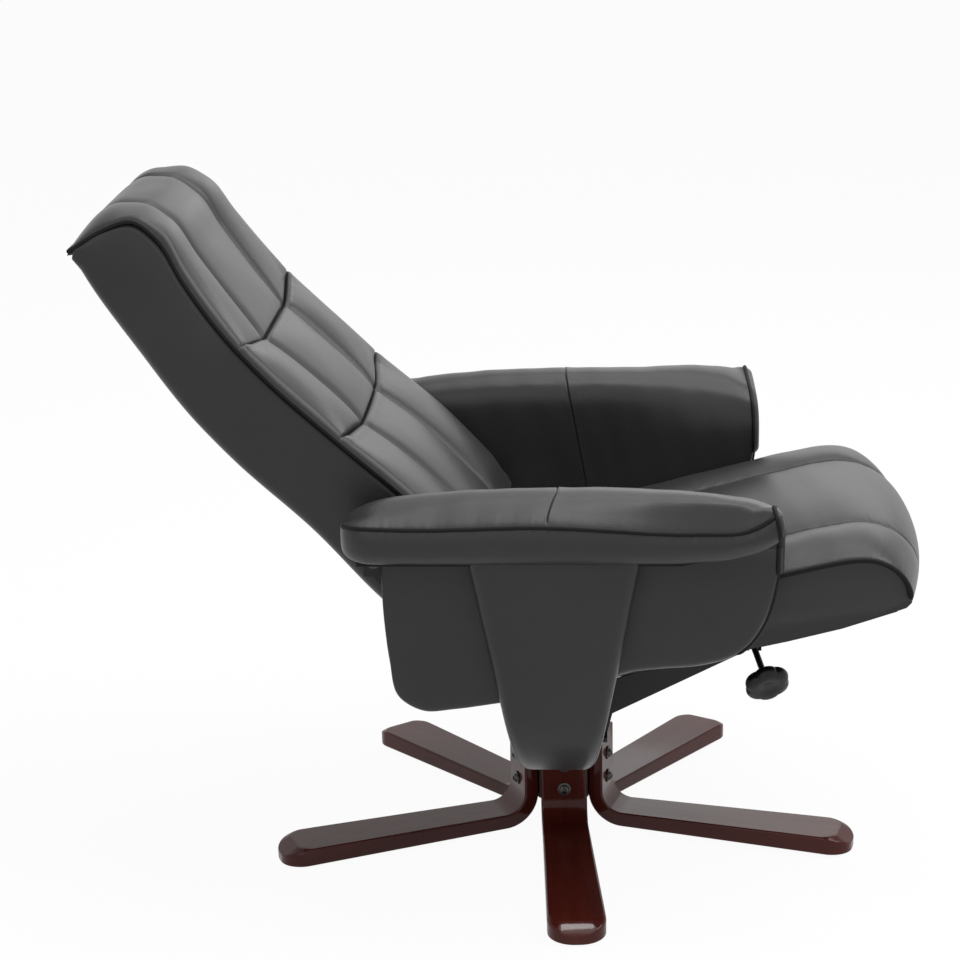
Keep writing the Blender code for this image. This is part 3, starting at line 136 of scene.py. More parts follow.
PIPING_RADIUS, PIPING_STEP = 0.0034, 0.004
OUTLINE_TENSION = 0.42


# Curves and surfaces


def lengths_along(points):
    """Distance of each point from the first, along the line through them all."""
    return np.concatenate([[0], np.cumsum(np.linalg.norm(np.diff(points, axis=0), axis=1))])


def cubic(t, start, end, leaving, arriving):
    """The cubic from start at t = 0 to end at t = 1 that has the given slopes there."""
    ends = (1 + 2 * t) * (1 - t) ** 2 * start + t**2 * (3 - 2 * t) * end
    return ends + t * (1 - t) ** 2 * leaving + t**2 * (t - 1) * arriving


def finer(values, old, new):
    """Values known at old places along their first axis, read at new ones by cubic pieces with matched slopes."""
    slopes = np.gradient(values, old, axis=0)
    i = np.clip(np.searchsorted(old, new, side="right") - 1, 0, len(old) - 2)
    shape = (-1,) + (1,) * (values.ndim - 1)
    h = (old[i + 1] - old[i]).reshape(shape)
    t = (new - old[i]).reshape(shape) / h
    return cubic(t, values[i], values[i + 1], h * slopes[i], h * slopes[i + 1])


def finer_grid(values, old, new):
    """The same for a grid: first along its rows, then along its columns."""
    for places, finer_places in zip(old, new):
        values = finer(values, places, finer_places).swapaxes(0, 1)
    return values


def curve_through(points, at):
    """A smooth curve through points, read at shares of its length: cubic pieces whose slopes match at each point."""
    points = np.asarray(points, float)
    steps = lengths_along(points)
    return finer(points, steps, np.clip(np.asarray(at, float), 0, 1) * steps[-1])


def height_on(points, x):
    """Height at x on the smooth curve through (x, z) points."""
    fine = curve_through(points, np.linspace(0, 1, 800))
    return np.interp(x, fine[:, 0], fine[:, 1])


def ease(x, start, end):
    """Smooth step from 0 at start to 1 at end."""
    t = np.clip((np.asarray(x, float) - start) / (end - start), 0, 1)
    return t * t * (3 - 2 * t)


def bell(x, width):
    """A bell of height 1: it falls off with the square of x over the width."""
    return np.exp(-((x / width) ** 2))


def unit(vectors):
    """Vectors at length 1."""
    return vectors / np.maximum(np.linalg.norm(vectors, axis=-1, keepdims=True), 1e-12)


def seen_from_side(flat, y):
    """Points whose (x, z) are drawn as seen from the side, at places y across the chair."""
    return np.stack(np.broadcast_arrays(flat[..., 0], y, flat[..., 1]), -1)


def ripple(along, across, seed):
    """A small uneven wave between -1 and 1: three sines of unlike lengths, turned by a seed."""
    return (
        np.sin(along * 1.00 + across * 0.31 + seed)
        + np.sin(along * 2.37 - across * 0.73 + 2.1 * seed)
        + np.sin(along * 4.11 + across * 1.19 + 3.7 * seed)
    ) / 3


def new_piece(name, points, faces, material, body, uv=None, smooth=True):
    """A mesh at the origin that moves with a body. Points are about the swivel axis, on the floor."""
    mesh = bpy.data.meshes.new(name)
    mesh.from_pydata(np.asarray(points) + SWIVEL, [], faces)
    if uv is not None:
        layer = mesh.uv_layers.new(name="grain")
        corners = np.empty(len(mesh.loops), np.int32)
        mesh.loops.foreach_get("vertex_index", corners)
        layer.data.foreach_set("uv", np.asarray(uv, np.float32)[corners].ravel())
    obj = bpy.data.objects.new(name, mesh)
    bpy.context.scene.collection.objects.link(obj)
    tidy_mesh(mesh)
    if smooth:
        mesh.shade_smooth()
    mesh.materials.append(material)
    if body:
        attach(obj, body)
    return obj


def tidy_mesh(mesh):
    """Merges doubles and turns every face outwards."""
    work = bmesh.new()
    work.from_mesh(mesh)
    bmesh.ops.remove_doubles(work, verts=work.verts, dist=1e-6)
    bmesh.ops.recalc_face_normals(work, faces=work.faces)
    work.to_mesh(mesh)
    work.free()


def loft_faces(count, size):
    """Quads between closed rings in order, and one flat face at each end."""
    i, j = np.meshgrid(np.arange(count - 1), np.arange(size), indexing="ij")
    k = (j + 1) % size
    quads = np.stack([i * size + j, i * size + k, (i + 1) * size + k, (i + 1) * size + j], -1).reshape(-1, 4)
    return quads.tolist() + [list(range(size))[::-1], list(range((count - 1) * size, count * size))]


def zip_faces(first, size):
    """Quads across a ring that isn't convex, each from two neighbours to the two points opposite."""
    return [[first + i, first + i + 1, first + size - 2 - i, first + size - 1 - i] for i in range(size // 2 - 1)]


def lofted(name, rings, material, body, **more):
    """A piece with faces between rings of points."""
    return new_piece(name, rings.reshape(-1, 3), loft_faces(*rings.shape[:2]), material, body, **more)


def tube(path, radius, steps=10):
    """A round bead along a path: a circle square to it at each point, drawn to a round end at both ends."""
    run = unit(np.gradient(path, axis=0))
    side = unit(np.cross(run, (0.13, 0.21, 0.97)))
    up = np.cross(side, run)
    turn = np.linspace(0, 2 * math.pi, steps, endpoint=False)
    size = np.full(len(path), radius)
    size[[0, -1]] *= 0.35
    size[[1, -2]] *= 0.85
    ring = np.cos(turn)[None, :, None] * side[:, None, :] + np.sin(turn)[None, :, None] * up[:, None, :]
    return path[:, None, :] + size[:, None, None] * ring


def even_path(points, spacing):
    """A path resampled to even steps along its length."""
    points = np.asarray(points, float)
    run = lengths_along(points)
    at = np.linspace(0, run[-1], max(4, int(run[-1] / spacing)))
    return np.column_stack([np.interp(at, run, points[:, axis]) for axis in range(3)])


# Finishes


class Term:
    """A value in a material. Arithmetic on it adds Math nodes, and node() adds a node of any other type."""

    def __init__(self, tree, socket=None):
        self.tree, self.socket = tree, socket

    def node(self, kind, settings=(), sockets=(), out=0):
        made = self.tree.nodes.new("ShaderNode" + kind)
        for name, value in dict(settings).items():
            setattr(made, name, value)
        for name, value in dict(sockets).items():
            if isinstance(value, Term):
                self.tree.links.new(value.socket, made.inputs[name])
            else:
                made.inputs[name].default_value = value
        return Term(self.tree, made.outputs[out])

    def math(self, operation, first, second=0.0, clamp=False):
        return self.node("Math", {"operation": operation, "use_clamp": clamp}, {0: first, 1: second})

    def __add__(self, other):
        return self.math("ADD", self, other)

    __radd__ = __add__

    def __mul__(self, other):
        return self.math("MULTIPLY", self, other)

    __rmul__ = __mul__

    def mix(self, dark, light):
        """A colour between two, by this value."""
        return self.node(
            "Mix", {"data_type": "RGBA", "clamp_factor": True}, {0: self, 6: (*dark, 1.0), 7: (*light, 1.0)}, out=2
        )


def finish(name, metallic=0.0, specular=0.5, coat_roughness=0.1, place=("TexCoord", (), (), "Object")):
    """A new material, the place on the piece that its patterns read, and a function that sets the shader's sockets."""
    material = bpy.data.materials.new(name)
    material.use_nodes = True
    shader = material.node_tree.nodes["Principled BSDF"]
    shader.inputs["Metallic"].default_value = metallic
    shader.inputs["Specular IOR Level"].default_value = specular
    shader.inputs["Coat Roughness"].default_value = coat_roughness

    def set_sockets(**sockets):
        for socket, value in sockets.items():
            target = shader.inputs[socket.replace("_", " ")]
            if isinstance(value, Term):
                material.node_tree.links.new(value.socket, target)
            else:
                target.default_value = value

    return material, Term(material.node_tree).node(*place), set_sockets


def noise(coords, scale, detail=3.0, roughness=0.55):
    return coords.node("TexNoise", {}, {"Vector": coords, "Scale": scale, "Detail": detail, "Roughness": roughness})


def cells(coords, scale):
    return coords.node("TexVoronoi", {}, {"Vector": coords, "Scale": scale})


def bump(height, strength, distance):
    return height.node("Bump", {}, {"Height": height, "Strength": strength, "Distance": distance})


def coated_hide(name, dark, light, rough, specular):
    """Charcoal coated cover: a pebbled grain of small cells, faint creases, broad soft changes of tone and gloss."""
    material, coords, set_sockets = finish(name, specular=specular)
    broad = noise(coords, 7.0, 4.0)
    pebble = cells(coords, 620.0)
    fine = noise(coords, 1500.0, 2.0)
    crease = noise(coords, 46.0, 5.0, 0.62)
    tone = broad * 0.75 + pebble * 0.25
    set_sockets(
        Base_Color=tone.mix(dark, light),
        Roughness=rough + broad * 0.08 + pebble * 0.05,
        Normal=bump(pebble * 0.6 + fine * 0.25 + crease * 1.5, 0.20, 0.0006),
    )
    return material


def lacquered_wood():
    """Mahogany under gloss lacquer: long fibres and pores along the leg, a red-brown stain and a clear coat."""
    material, coords, set_sockets = finish("mahogany lacquer", 0.0, 0.04, 0.06, ("UVMap", {"uv_map": "grain"}))
    stretches = ((6.0, 120.0, 1.0), (4.0, 28.0, 1.0), (30.0, 900.0, 1.0))
    long, wide, thin = (coords.node("Mapping", {}, {"Vector": coords, "Scale": stretch}) for stretch in stretches)
    fibre, broad, pore = noise(long, 1.0, 5.0, 0.6), noise(wide, 1.0, 3.0), noise(thin, 1.0, 2.0)
    grain = fibre * 0.6 + broad * 0.4
    set_sockets(
        Base_Color=grain.math("SMOOTH_MIN", grain, 0.8).mix((0.017, 0.0023, 0.0018), (0.110, 0.017, 0.011)),
        Roughness=0.24 + pore * 0.10,
        Coat_Weight=0.26 + broad * 0.14,
        Normal=bump(fibre * 0.5 + pore * 0.5, 0.05, 0.0003),
    )
    return material


def bolt_metal():
    """Blackened bolt steel: bare metal with worn edges of tone."""
    material, coords, set_sockets = finish("bolt steel", metallic=1.0)
    scuff = noise(coords, 240.0, 4.0)
    set_sockets(Base_Color=scuff.mix((0.03,) * 3, (0.12, 0.115, 0.11)), Roughness=0.30 + scuff * 0.2)
    return material


def fine_coat(name, dark, light, rough, specular, gloss=0.08, fine=1800.0, broad=(30.0, 2.0), relief=(0.18, 0.0003)):
    """Moulded plastic or powder coat: a fine even texture under broad, slight changes of tone and gloss."""
    material, coords, set_sockets = finish(name, specular=specular)
    patch = noise(coords, *broad)
    set_sockets(
        Base_Color=patch.mix(dark, light),
        Roughness=rough + patch * gloss,
        Normal=bump(noise(coords, fine, 2.0), *relief),
    )
    return material


def pressed_felt():
    """Brown felt: short matted fibres."""
    material, coords, set_sockets = finish("brown felt", specular=0.2)
    fibre = noise(coords, 2200.0, 4.0, 0.7)
    set_sockets(
        Base_Color=fibre.mix((0.030, 0.020, 0.015), (0.085, 0.060, 0.045)),
        Roughness=0.9 + fibre * 0.1,
        Normal=bump(fibre, 0.5, 0.0006),
    )
    return material


hide = coated_hide("charcoal cover", (0.018,) * 3, (0.030,) * 3, 0.30, 0.30)
# Piping: the same charcoal cover, painted several times darker and less glossy as shade along the beads
piping_hide_shaded_dark = coated_hide("piping cover painted dark for shade", (0.004,) * 3, (0.009,) * 3, 0.45, 0.15)
mahogany = lacquered_wood()
steel = fine_coat("black steel", (0.005,) * 3, (0.011,) * 3, 0.34, 0.3, 0.12, 900.0, (25.0, 3.0), (0.12, 0.0004))
bolts = bolt_metal()
plastic = fine_coat("black plastic", (0.004,) * 3, (0.010,) * 3, 0.28, 0.25)
nylon = fine_coat("grey nylon", (0.14,) * 3, (0.20,) * 3, 0.45, 0.5)
board = fine_coat("black board", (0.004,) * 3, (0.009,) * 3, 0.60, 0.2)
felt = pressed_felt()


# Sewn padding


def spread(segments, per):
    """Places 0, 1, 2 and so on joined by `per` steps each, closer together at whole numbers, where the seams lie."""
    t = np.linspace(0, 1, per + 1)[:-1]
    t = 0.12 * t + 0.88 * (1 - np.cos(math.pi * t)) / 2
    return np.concatenate([number + t for number in range(segments)] + [[segments]])


def between(knots, at):
    """A broken line through knots, one array for each whole number, read at places between them."""
    knots = np.stack(np.broadcast_arrays(*knots))
    i = np.clip(at.astype(int), 0, len(knots) - 2)
    low, high = (np.take_along_axis(knots, np.broadcast_to(k, knots.shape[1:])[None], 0)[0] for k in (i, i + 1))
    return low + (high - low) * (at - i)


def pillow(t, power):
    """Flat-topped hump between 0 and 1: four times t times one less t, to a small power."""
    return np.clip(4 * t * (1 - t), 0, 1) ** power


def stuffing(grid, sewn, cap, pressure=18.0, frames=16):
    """How far stuffing pushes out each point of a closed padded grid, found as cloth under pressure.

    Points that are sewn stay where they are, and no point goes further than the cap. The push is evened out between
    neighbours, as a taut cover would.
    """
    scene = bpy.context.scene
    skin = lofted("stuffed_skin", grid, hide, None)
    count = grid.shape[0] * grid.shape[1]
    skin.vertex_groups.new(name="sewn").add(np.flatnonzero(sewn.ravel()).tolist(), 1.0, "REPLACE")
    cloth = skin.modifiers.new("stuffing", "CLOTH")
    cloth.settings.vertex_group_mass = "sewn"
    cloth.settings.use_pressure = True
    cloth.settings.uniform_pressure_force = pressure
    cloth.settings.effector_weights.gravity = 0.0
    cloth.settings.quality = 6
    cloth.settings.tension_stiffness = cloth.settings.compression_stiffness = 8.0
    cloth.settings.bending_stiffness = 8.0
    cloth.point_cache.frame_start, cloth.point_cache.frame_end = 1, frames
    for number in range(1, frames + 1):
        scene.frame_set(number)
    blown = skin.evaluated_get(bpy.context.evaluated_depsgraph_get()).data
    moved = np.empty(len(blown.vertices) * 3, np.float32)
    blown.vertices.foreach_get("co", moved)
    shift = moved.reshape(-1, 3)[:count].astype(float) - SWIVEL - grid.reshape(-1, 3)
    mesh = skin.data
    bpy.data.objects.remove(skin)
    bpy.data.meshes.remove(mesh)
    scene.frame_set(1)
    reach = np.linalg.norm(shift, axis=1)
    shift *= (cap * np.tanh(reach / cap) / np.maximum(reach, 1e-9))[:, None]
    shift = shift.reshape(grid.shape)
    for _ in range(4):
        sides = (np.roll(shift, step, axis) for step in (1, -1) for axis in (0, 1))
        shift = np.where(sewn[..., None], shift, 0.5 * shift + 0.125 * sum(sides))
    return shift


def upholster(obj, fill, *nodes):
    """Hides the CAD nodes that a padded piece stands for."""
    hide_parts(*nodes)


def trim(name, path, body, radius=PIPING_RADIUS):
    """A bead of piping, in the copy of the cover that is painted darker as shade."""
    bead = lofted(name, tube(path, radius), piping_hide_shaded_dark, body)


# Back


def back_half_width(share):
    """Half the width of the back at a share of its height: full below, a little narrower at the top."""
    return BACK_HALF_WIDTH + (BACK_TOP_HALF_WIDTH - BACK_HALF_WIDTH) * ease(share, 0.60, 0.92)


def back_frame(shares):
    """Front point, outward direction and thickness of the back at shares along its two side lines."""
    flat = np.ravel(shares)
    front, rear = curve_through(BACK_FRONT_LINE, flat), curve_through(BACK_REAR_LINE, flat)
    thickness = np.linalg.norm(front - rear, axis=1)
    out = (front - rear) / thickness[:, None]
    shape = np.shape(shares)
    return front.reshape(*shape, 2), out.reshape(*shape, 2), thickness.reshape(shape)


def back_lip(share):
    """How far the padded front runs out past the shell: nothing until near the top, then rearward and down."""
    return ease(share, 0.93, 1.0)[..., None] * BACK_LIP


def back_places(rows, columns):
    """Share up the back and place across it for rows 0 to 3 and columns 0 to 3, whose whole numbers are seams.

    The two long channels follow the drawn widths, and the two cross seams rise towards the sides.
    """
    r, c = np.meshgrid(rows, columns, indexing="ij")
    share = np.interp(r, range(4), (0, *BACK_SEAMS, 1))
    places, widths = zip(*BACK_CHANNEL)
    channel = np.interp(share, places, widths) / back_half_width(share)
    across = between((-1 + 0 * channel, -channel, channel, 1 + 0 * channel), c)
    outside = np.clip((np.abs(across) - channel) / (1 - channel), 0, 1)
    lift = BACK_SEAM_LIFT * outside**1.1
    share = between((0 * lift, BACK_SEAMS[0] + lift, BACK_SEAMS[1] + lift, 1 + 0 * lift), r)
    return r, c, share, across


def back_crown(r, c, share, across):
    """Height of the padded front over the piping line: a pillow across each column, times one up each row.

    The rows at the foot and the top are open half pillows. The top swells to a head roll with a round end.
    """
    row, column = np.clip(r.astype(int), 0, 2), np.clip(c.astype(int), 0, 2)
    up, over = r - row, c - column
    up = np.where(row == 0, 0.5 + 0.5 * up, np.where(row == 2, 0.5 * up, up))
    puff = np.where(column == 1, BACK_PANEL_PUFF, BACK_BOLSTER_PUFF)
    joined = 0.80 * ease(np.abs(across), 0.80, 1.0)
    dome = puff * pillow(over, np.where(column == 1, 0.36, 0.46)) * (joined + (1 - joined) * pillow(up, 0.34))
    dome = dome * (1 - 0.72 * ease(share, 0.80, 0.93))
    head = BACK_HEAD_RISE * bell(share - BACK_HEAD_AT, BACK_HEAD_SPREAD) * (1 - np.abs(across) ** 8)
    nose = np.sqrt(1 - np.clip((share - BACK_HEAD_AT) / BACK_NOSE, 0, 1) ** 2)
    fade = nose * ease(share, -0.02, 0.08)
    return (dome + head) * (0.05 + 0.95 * fade) - 0.0025 * fade * (1 - np.abs(across) ** 12)


def back_sewing(r, c, share, across):
    """Depth of the sewn lines: sharp grooves, the long ones in a soft valley, a lap below each cross seam, tucks.

    Each is a bell of the distance from its line, and the tucks are ripples that die away with that distance.
    """
    half = back_half_width(share)
    above = np.where(np.abs(r - 1) < np.abs(r - 2), r - 1, r - 2) * BACK_ROW
    to_seam = np.abs(above)
    to_channel = np.minimum(np.abs(c - 1), np.abs(c - 2)) * BACK_COLUMN
    fade = ease(share, 1.0, 0.965) * ease(np.abs(across), 1.0, 0.92)
    groove = BACK_GROOVE[0] * bell(to_seam, 0.0012) + BACK_GROOVE[1] * bell(to_channel, 0.0012)
    groove = groove + BACK_VALLEY * bell(to_channel, 0.0075)
    lap = BACK_LAP * bell(above + 0.0065, 0.003)
    pucker = 0.00030 * ripple(across * half * 150, share * 20, 1.3) * np.exp(-to_seam / 0.012)
    tuck = 0.00022 * ripple(share * BACK_LENGTH * 130, across * 12, 2.6) * np.exp(-to_channel / 0.010)
    drape = 0.0006 * ripple(share * 9 + across * 2, across * 3, 3.9)
    return fade * (lap - groove + pucker + tuck + drape)


def back_padding_points(rows, columns, sewing):
    """Grid of the padded front, with two columns behind it that close the piece."""
    r, c, share, across = back_places(rows, columns)
    front, out, thickness = back_frame(share)
    front = front + back_lip(share)
    rise = back_crown(r, c, share, across)
    if sewing:
        rise = rise + back_sewing(r, c, share, across)
    rise = rise - 0.006 * np.clip((np.abs(across) - 0.955) / 0.045, 0, 1) ** 2
    half = back_half_width(share) - BACK_PAD_INSET * ease(share, 0.97, 0.90)
    depth = np.minimum(BACK_PAD_SINK, 0.36 * thickness)
    face, rear = (seen_from_side(front + out * up[..., None], half * across) for up in (rise, -depth))
    return np.concatenate([face, rear[:, -1:], rear[:, :1]], axis=1)


def back_cover_points(up):
    """Rings of the shell's cover: a fold behind the padding, sides with a slight swell, round rear corners."""
    share = np.linspace(0, 1, up)
    front, out, thickness = back_frame(share)
    half = back_half_width(share)
    corner = np.minimum(BACK_CORNER, 0.42 * thickness)
    bend = np.linspace(0, math.pi / 2, 7)
    outline = []
    for side in (1, -1):
        start = [(0.970 * half, -np.minimum(0.012, 0.3 * thickness)), (half - 0.0012, np.full(up, -0.0005))]
        for t in (0.12, 0.35, 0.6, 0.85):
            start.append((half + BACK_SIDE_SWELL * math.sin(math.pi * t) - 0.0005, -t * (thickness - corner)))
        start += [(half - corner * (1 - math.cos(a)), -thickness + corner * (1 - math.sin(a))) for a in bend]
        swell = BACK_REAR_SWELL * ease(share, 1.0, 0.9)
        start += [(t * half, -thickness - swell * (1 - t**2)) for t in (0.6, 0.25)]
        outline += [(side * y, depth) for y, depth in start[::side]]
    y, depth = (np.stack(part, 1) for part in zip(*outline))
    return seen_from_side(front[:, None] + out[:, None] * depth[..., None], y)


def back_piping_path():
    """Piping round the padded front: up the right edge, along the top edge and down the left edge."""
    share = np.linspace(0.0, 1, 120)
    front, out, _ = back_frame(share)
    lifted = front - out * 0.0010 + back_lip(share)
    right = seen_from_side(lifted, -back_half_width(share))
    return even_path(np.vstack([right, right[::-1] * (1, -1, 1)]), PIPING_STEP)


def build_back():
    """The padded front, stuffed on a coarse grid whose push is carried to the fine one, the shell's cover, piping."""
    per_row, per_column = 14, 12
    few = np.linspace(0, 3, 3 * per_row + 1), np.linspace(0, 3, 3 * per_column + 1)
    rough = back_padding_points(*few, False)
    sewn = np.zeros(rough.shape[:2], bool)
    sewn[::per_row] = sewn[:, ::per_column] = sewn[:, 3 * per_column :] = True
    push = stuffing(rough, sewn, BACK_STUFFING)[:, : len(few[1])]
    rows, columns = spread(3, 76), spread(3, 60)
    points = back_padding_points(rows, columns, True)
    points[:, : len(columns)] += finer_grid(push, few, (rows, columns))
    upholster(lofted("back_padding", points, hide, "back"), 0.8, "back_cushion")
    upholster(lofted("back_cover", back_cover_points(150), hide, "back"), 0.9, "back_shell")
    trim("back_piping", back_piping_path(), "back", BACK_BEAD)


def build_flap():
    """Flap of cover that hangs from the foot of the back behind the seat: a thin oblong along a line that sags."""
    t = np.linspace(0, 1, 26)[:, None]
    thick, edge = FLAP_HALF_THICKNESS, 0.0012
    section = soft_box(np.full(26, FLAP_HALF_WIDTH), -thick, thick, edge, edge)
    across, up = section[..., 0], section[..., 1]
    line = FLAP_TOP + (FLAP_FOOT - FLAP_TOP) * t - FLAP_SQUARE * (FLAP_SAG * np.sin(math.pi * t))
    fold = up + 0.0016 * ripple(across * 32, t * 2, 0.4) * t
    flap = lofted("back_flap", seen_from_side(line[:, None] + FLAP_SQUARE * fold[..., None], across), hide, "back")


# Seat


def seat_bottom(x):
    """Height of the seat's underside: a slope, turned up under the front edge."""
    line = SEAT_BOTTOM_HEIGHT + SEAT_BOTTOM_SLOPE * (x - SEAT_BOTTOM_AT)
    return line + SEAT_UPTURN * np.clip(x - SEAT_UPTURN_AT, 0, None) ** 2


def seat_top(x):
    """Height of the seat's side edge: a slope that eases into the crest."""
    dip = np.sqrt((SEAT_CREST - x) ** 2 + SEAT_TOP_EASE**2) - SEAT_TOP_EASE
    return SEAT_CREST_HEIGHT - SEAT_TOP_SLOPE * dip


def seat_front_roll(front, crest, turn):
    """Quarter ellipse from the crest, at turn 0, down to the front edge of the underside."""
    lowest = seat_bottom(front) + SEAT_FRONT_LIFT
    return np.stack([SEAT_CREST + (front - SEAT_CREST) * np.sin(turn), lowest + (crest - lowest) * np.cos(turn)], -1)


def seat_crown(columns):
    """Height added to the edge line: a flat-topped middle panel between two channels, and a roll each side."""
    column = np.clip(columns.astype(int), 0, 2)
    over = columns - column
    outwards = np.where(column == 0, 1 - over, over)
    middle = SEAT_CHANNEL_RISE + SEAT_PUFF * pillow(over, 0.38)
    roll = SEAT_CHANNEL_RISE * (1 - outwards**1.6) + SEAT_PUFF * pillow(over, 0.46)
    return np.where(column == 1, middle, roll)


def seat_points(columns, steps, sewing):
    """Rings of the seat across its width: top slope, quarter-ellipse front, underside and rear.

    Steps are how many points the top, the front and the underside have.
    """
    channel = SEAT_CHANNEL / SEAT_HALF_WIDTH
    across = np.interp(columns, range(4), (-1, -channel, channel, 1))
    rise = seat_crown(columns)[:, None]
    front = (SEAT_FRONT - SEAT_FRONT_SWEEP * across**2)[:, None]
    run = np.linspace(SEAT_REAR, SEAT_CREST, steps[0])[None]
    rear_fade = ease(run, SEAT_REAR - 0.03, SEAT_REAR + 0.05)
    top = np.stack(np.broadcast_arrays(run, seat_top(run) + rise * rear_fade), -1)
    roll = seat_front_roll(front, SEAT_CREST_HEIGHT + rise, np.linspace(0, math.pi / 2, steps[1] + 1)[None, 1:])
    under_front = front - SEAT_FRONT_TUCK
    under_x = under_front + (SEAT_REAR - under_front) * np.linspace(0, 1, steps[2])[None]
    under = np.stack([under_x, seat_bottom(under_x)], -1)
    ring = np.concatenate([top, roll, under], axis=1)
    if sewing:
        ring[:, : steps[0] + steps[1]] += seat_sewing(columns, ring[:, : steps[0] + steps[1]])
    return seen_from_side(ring, SEAT_HALF_WIDTH * across[:, None])


def seat_sewing(columns, ring):
    """Sewn channels of the seat: a sharp groove square to the ring, with tucks beside it that die away."""
    along = np.gradient(ring, axis=1)
    normal = unit(np.stack([-along[..., 1], along[..., 0]], -1))
    x, z = ring[..., 0], ring[..., 1]
    fade = ease(z - seat_bottom(x), 0.010, 0.030) * ease(x, SEAT_REAR, SEAT_REAR + 0.03)
    off = (np.minimum(np.abs(columns - 1), np.abs(columns - 2)) * 0.15)[:, None]
    edge = (np.minimum(columns, 3 - columns) * 0.108)[:, None]
    tuck = 0.00055 * ripple((x + z) * 200, off * 60, 0.7) * np.exp(-off / 0.016)
    pull = 0.00050 * ripple((x - z) * 140, edge * 40, 4.2) * np.exp(-edge / 0.022)
    drape = 0.0007 * ripple(x * 26, columns[:, None] * 4, 2.2)
    depth = fade * (tuck + pull + drape - SEAT_GROOVE * bell(off, 0.0013))
    return normal * depth[..., None]


def seat_edge_path(side):
    """Piping along one side edge of the seat: up the slope, over the crest and down the rolled front."""
    run = np.linspace(SEAT_REAR + 0.01, SEAT_CREST, 80)
    roll = seat_front_roll(SEAT_FRONT - SEAT_FRONT_SWEEP, SEAT_CREST_HEIGHT, np.linspace(0, 1.5, 40)[1:])
    line = np.vstack([np.column_stack([run, seat_top(run)]), roll]) + (0, 0.0006)
    return even_path(seen_from_side(line, side * (SEAT_HALF_WIDTH - 0.0005)), PIPING_STEP)


def build_seat():
    """The seat, stuffed as the back is, and the piping of its two sides."""
    per_column = 10
    few, few_steps = np.linspace(0, 3, 3 * per_column + 1), (22, 12, 8)
    columns, steps = spread(3, 64), (90, 54, 24)
    rough = seat_points(few, few_steps, False)
    sewn = np.zeros(rough.shape[:2], bool)
    sewn[::per_column] = sewn[:, 0] = sewn[:, sum(few_steps[:2]) - 1 :] = True
    push = stuffing(rough, sewn, SEAT_STUFFING)
    old, new = (
        np.concatenate([np.linspace(0, 1, top), np.linspace(1, 2, roll + 1)[1:], np.linspace(2.1, 3, under)])
        for top, roll, under in (few_steps, steps)
    )
    points = seat_points(columns, steps, True) + finer_grid(push, (few, old), (columns, new))
    upholster(lofted("seat_padding", points, hide, "seat"), 0.8, "seat_cushion")
    for word, side in SIDES:
        trim(f"seat_piping_{word}", seat_edge_path(side), "seat")


# Arms


def arm_sections(x):
    """Outline of one arm across the chair at each x, as (outward from the inner face, up) points.

    In the middle it is a flat inner face, a roll over the top, a lip outside and a padded panel below the lip.
    Towards the front the roll leans outwards and flattens, and the lip runs into the front edge.
    """
    ridge, piping, lip = height_on(ARM_RIDGE, x), height_on(ARM_PIPING, x), height_on(ARM_LIP, x)
    foot = np.where(x < ARM_PANEL_REAR, ARM_SPLIT - 0.008, height_on(ARM_PANEL_FOOT, np.minimum(x, ARM_FACE)))
    lip = np.maximum(lip, ARM_SPLIT)
    split = np.maximum(ARM_SPLIT - 0.014, foot + 0.004)
    middle = 0.5 * (foot + split)
    edge, wall = ARM_LIP_REACH, ARM_PANEL_THICKNESS
    lean = ARM_RIDGE_LEAN * ease(x, 0.06, 0.235)
    soft = np.minimum(0.012, 0.5 * (middle - foot))
    roll = [
        (0.006, foot), (0.0, foot + soft),
        (0.0, middle), (0.0, 0.5 * (middle + split)),
        (0.0, split + 0.014), (0.002 + 0.25 * lean, ridge - 0.036 - 0.45 * lean),
        (0.010 + 0.50 * lean, ridge - 0.015 - 0.35 * lean), (0.026 + 0.80 * lean, ridge - 0.003 - 0.12 * lean),
        (0.048 + lean, ridge), (0.072 + 0.65 * lean, ridge - 0.005 + 0.02 * lean),
        (edge - 0.013 + 0.25 * lean, 0.33 * ridge + 0.67 * piping + 0.002), (edge, piping),
        (edge + 0.0045, 0.66 * piping + 0.34 * lip), (edge + 0.001, lip + 0.014),
        (edge - 0.009, lip + 0.002), (edge - 0.026, lip),
        (wall + 0.010, lip), (wall + 0.001, lip - 0.003),
        (wall - 0.001, split), (wall + 0.002, 0.5 * (middle + split)),
        (wall + 0.001, middle), (wall - 0.002, foot + soft),
        (wall - 0.012, foot + 0.001), (0.018, foot - 0.001),
    ]
    front = [
        (0.012, foot), (0.005, foot + soft),
        (0.003, middle), (0.002, 0.5 * (middle + split)),
        (0.002, split + 0.012), (0.004, ridge - 0.058),
        (0.012, ridge - 0.035), (0.030, ridge - 0.0195),
        (0.052, ridge - 0.0125), (0.076, ridge - 0.006),
        (edge - 0.014, ridge - 0.002), (edge - 0.003, piping),
        (edge + 0.001, piping - 0.012), (edge - 0.001, lip + 0.012),
        (edge - 0.010, lip + 0.003), (edge - 0.026, lip - 0.003),
        (wall + 0.024, lip - 0.011), (wall + 0.009, lip - 0.022),
        (wall + 0.002, split), (wall + 0.001, 0.5 * (middle + split)),
        (wall + 0.001, middle), (wall - 0.002, foot + soft),
        (wall - 0.010, foot + 0.001), (0.020, foot - 0.0005),
    ]
    late = np.interp(np.arange(ARM_CONTROLS), (0, 6, 8, 10, 12, 23), (2.2, 1.8, 2.2, 4.5, 3.5, 2.2))
    share = np.clip((x - ARM_FLARE_START) / (ARM_FACE - ARM_FLARE_START), 0, 1)[:, None, None] ** late[:, None]
    forms = [np.stack([np.stack(np.broadcast_arrays(o, u + 0 * x), -1) for o, u in form], 1) for form in (roll, front)]
    return (1 - share) * forms[0] + share * forms[1]


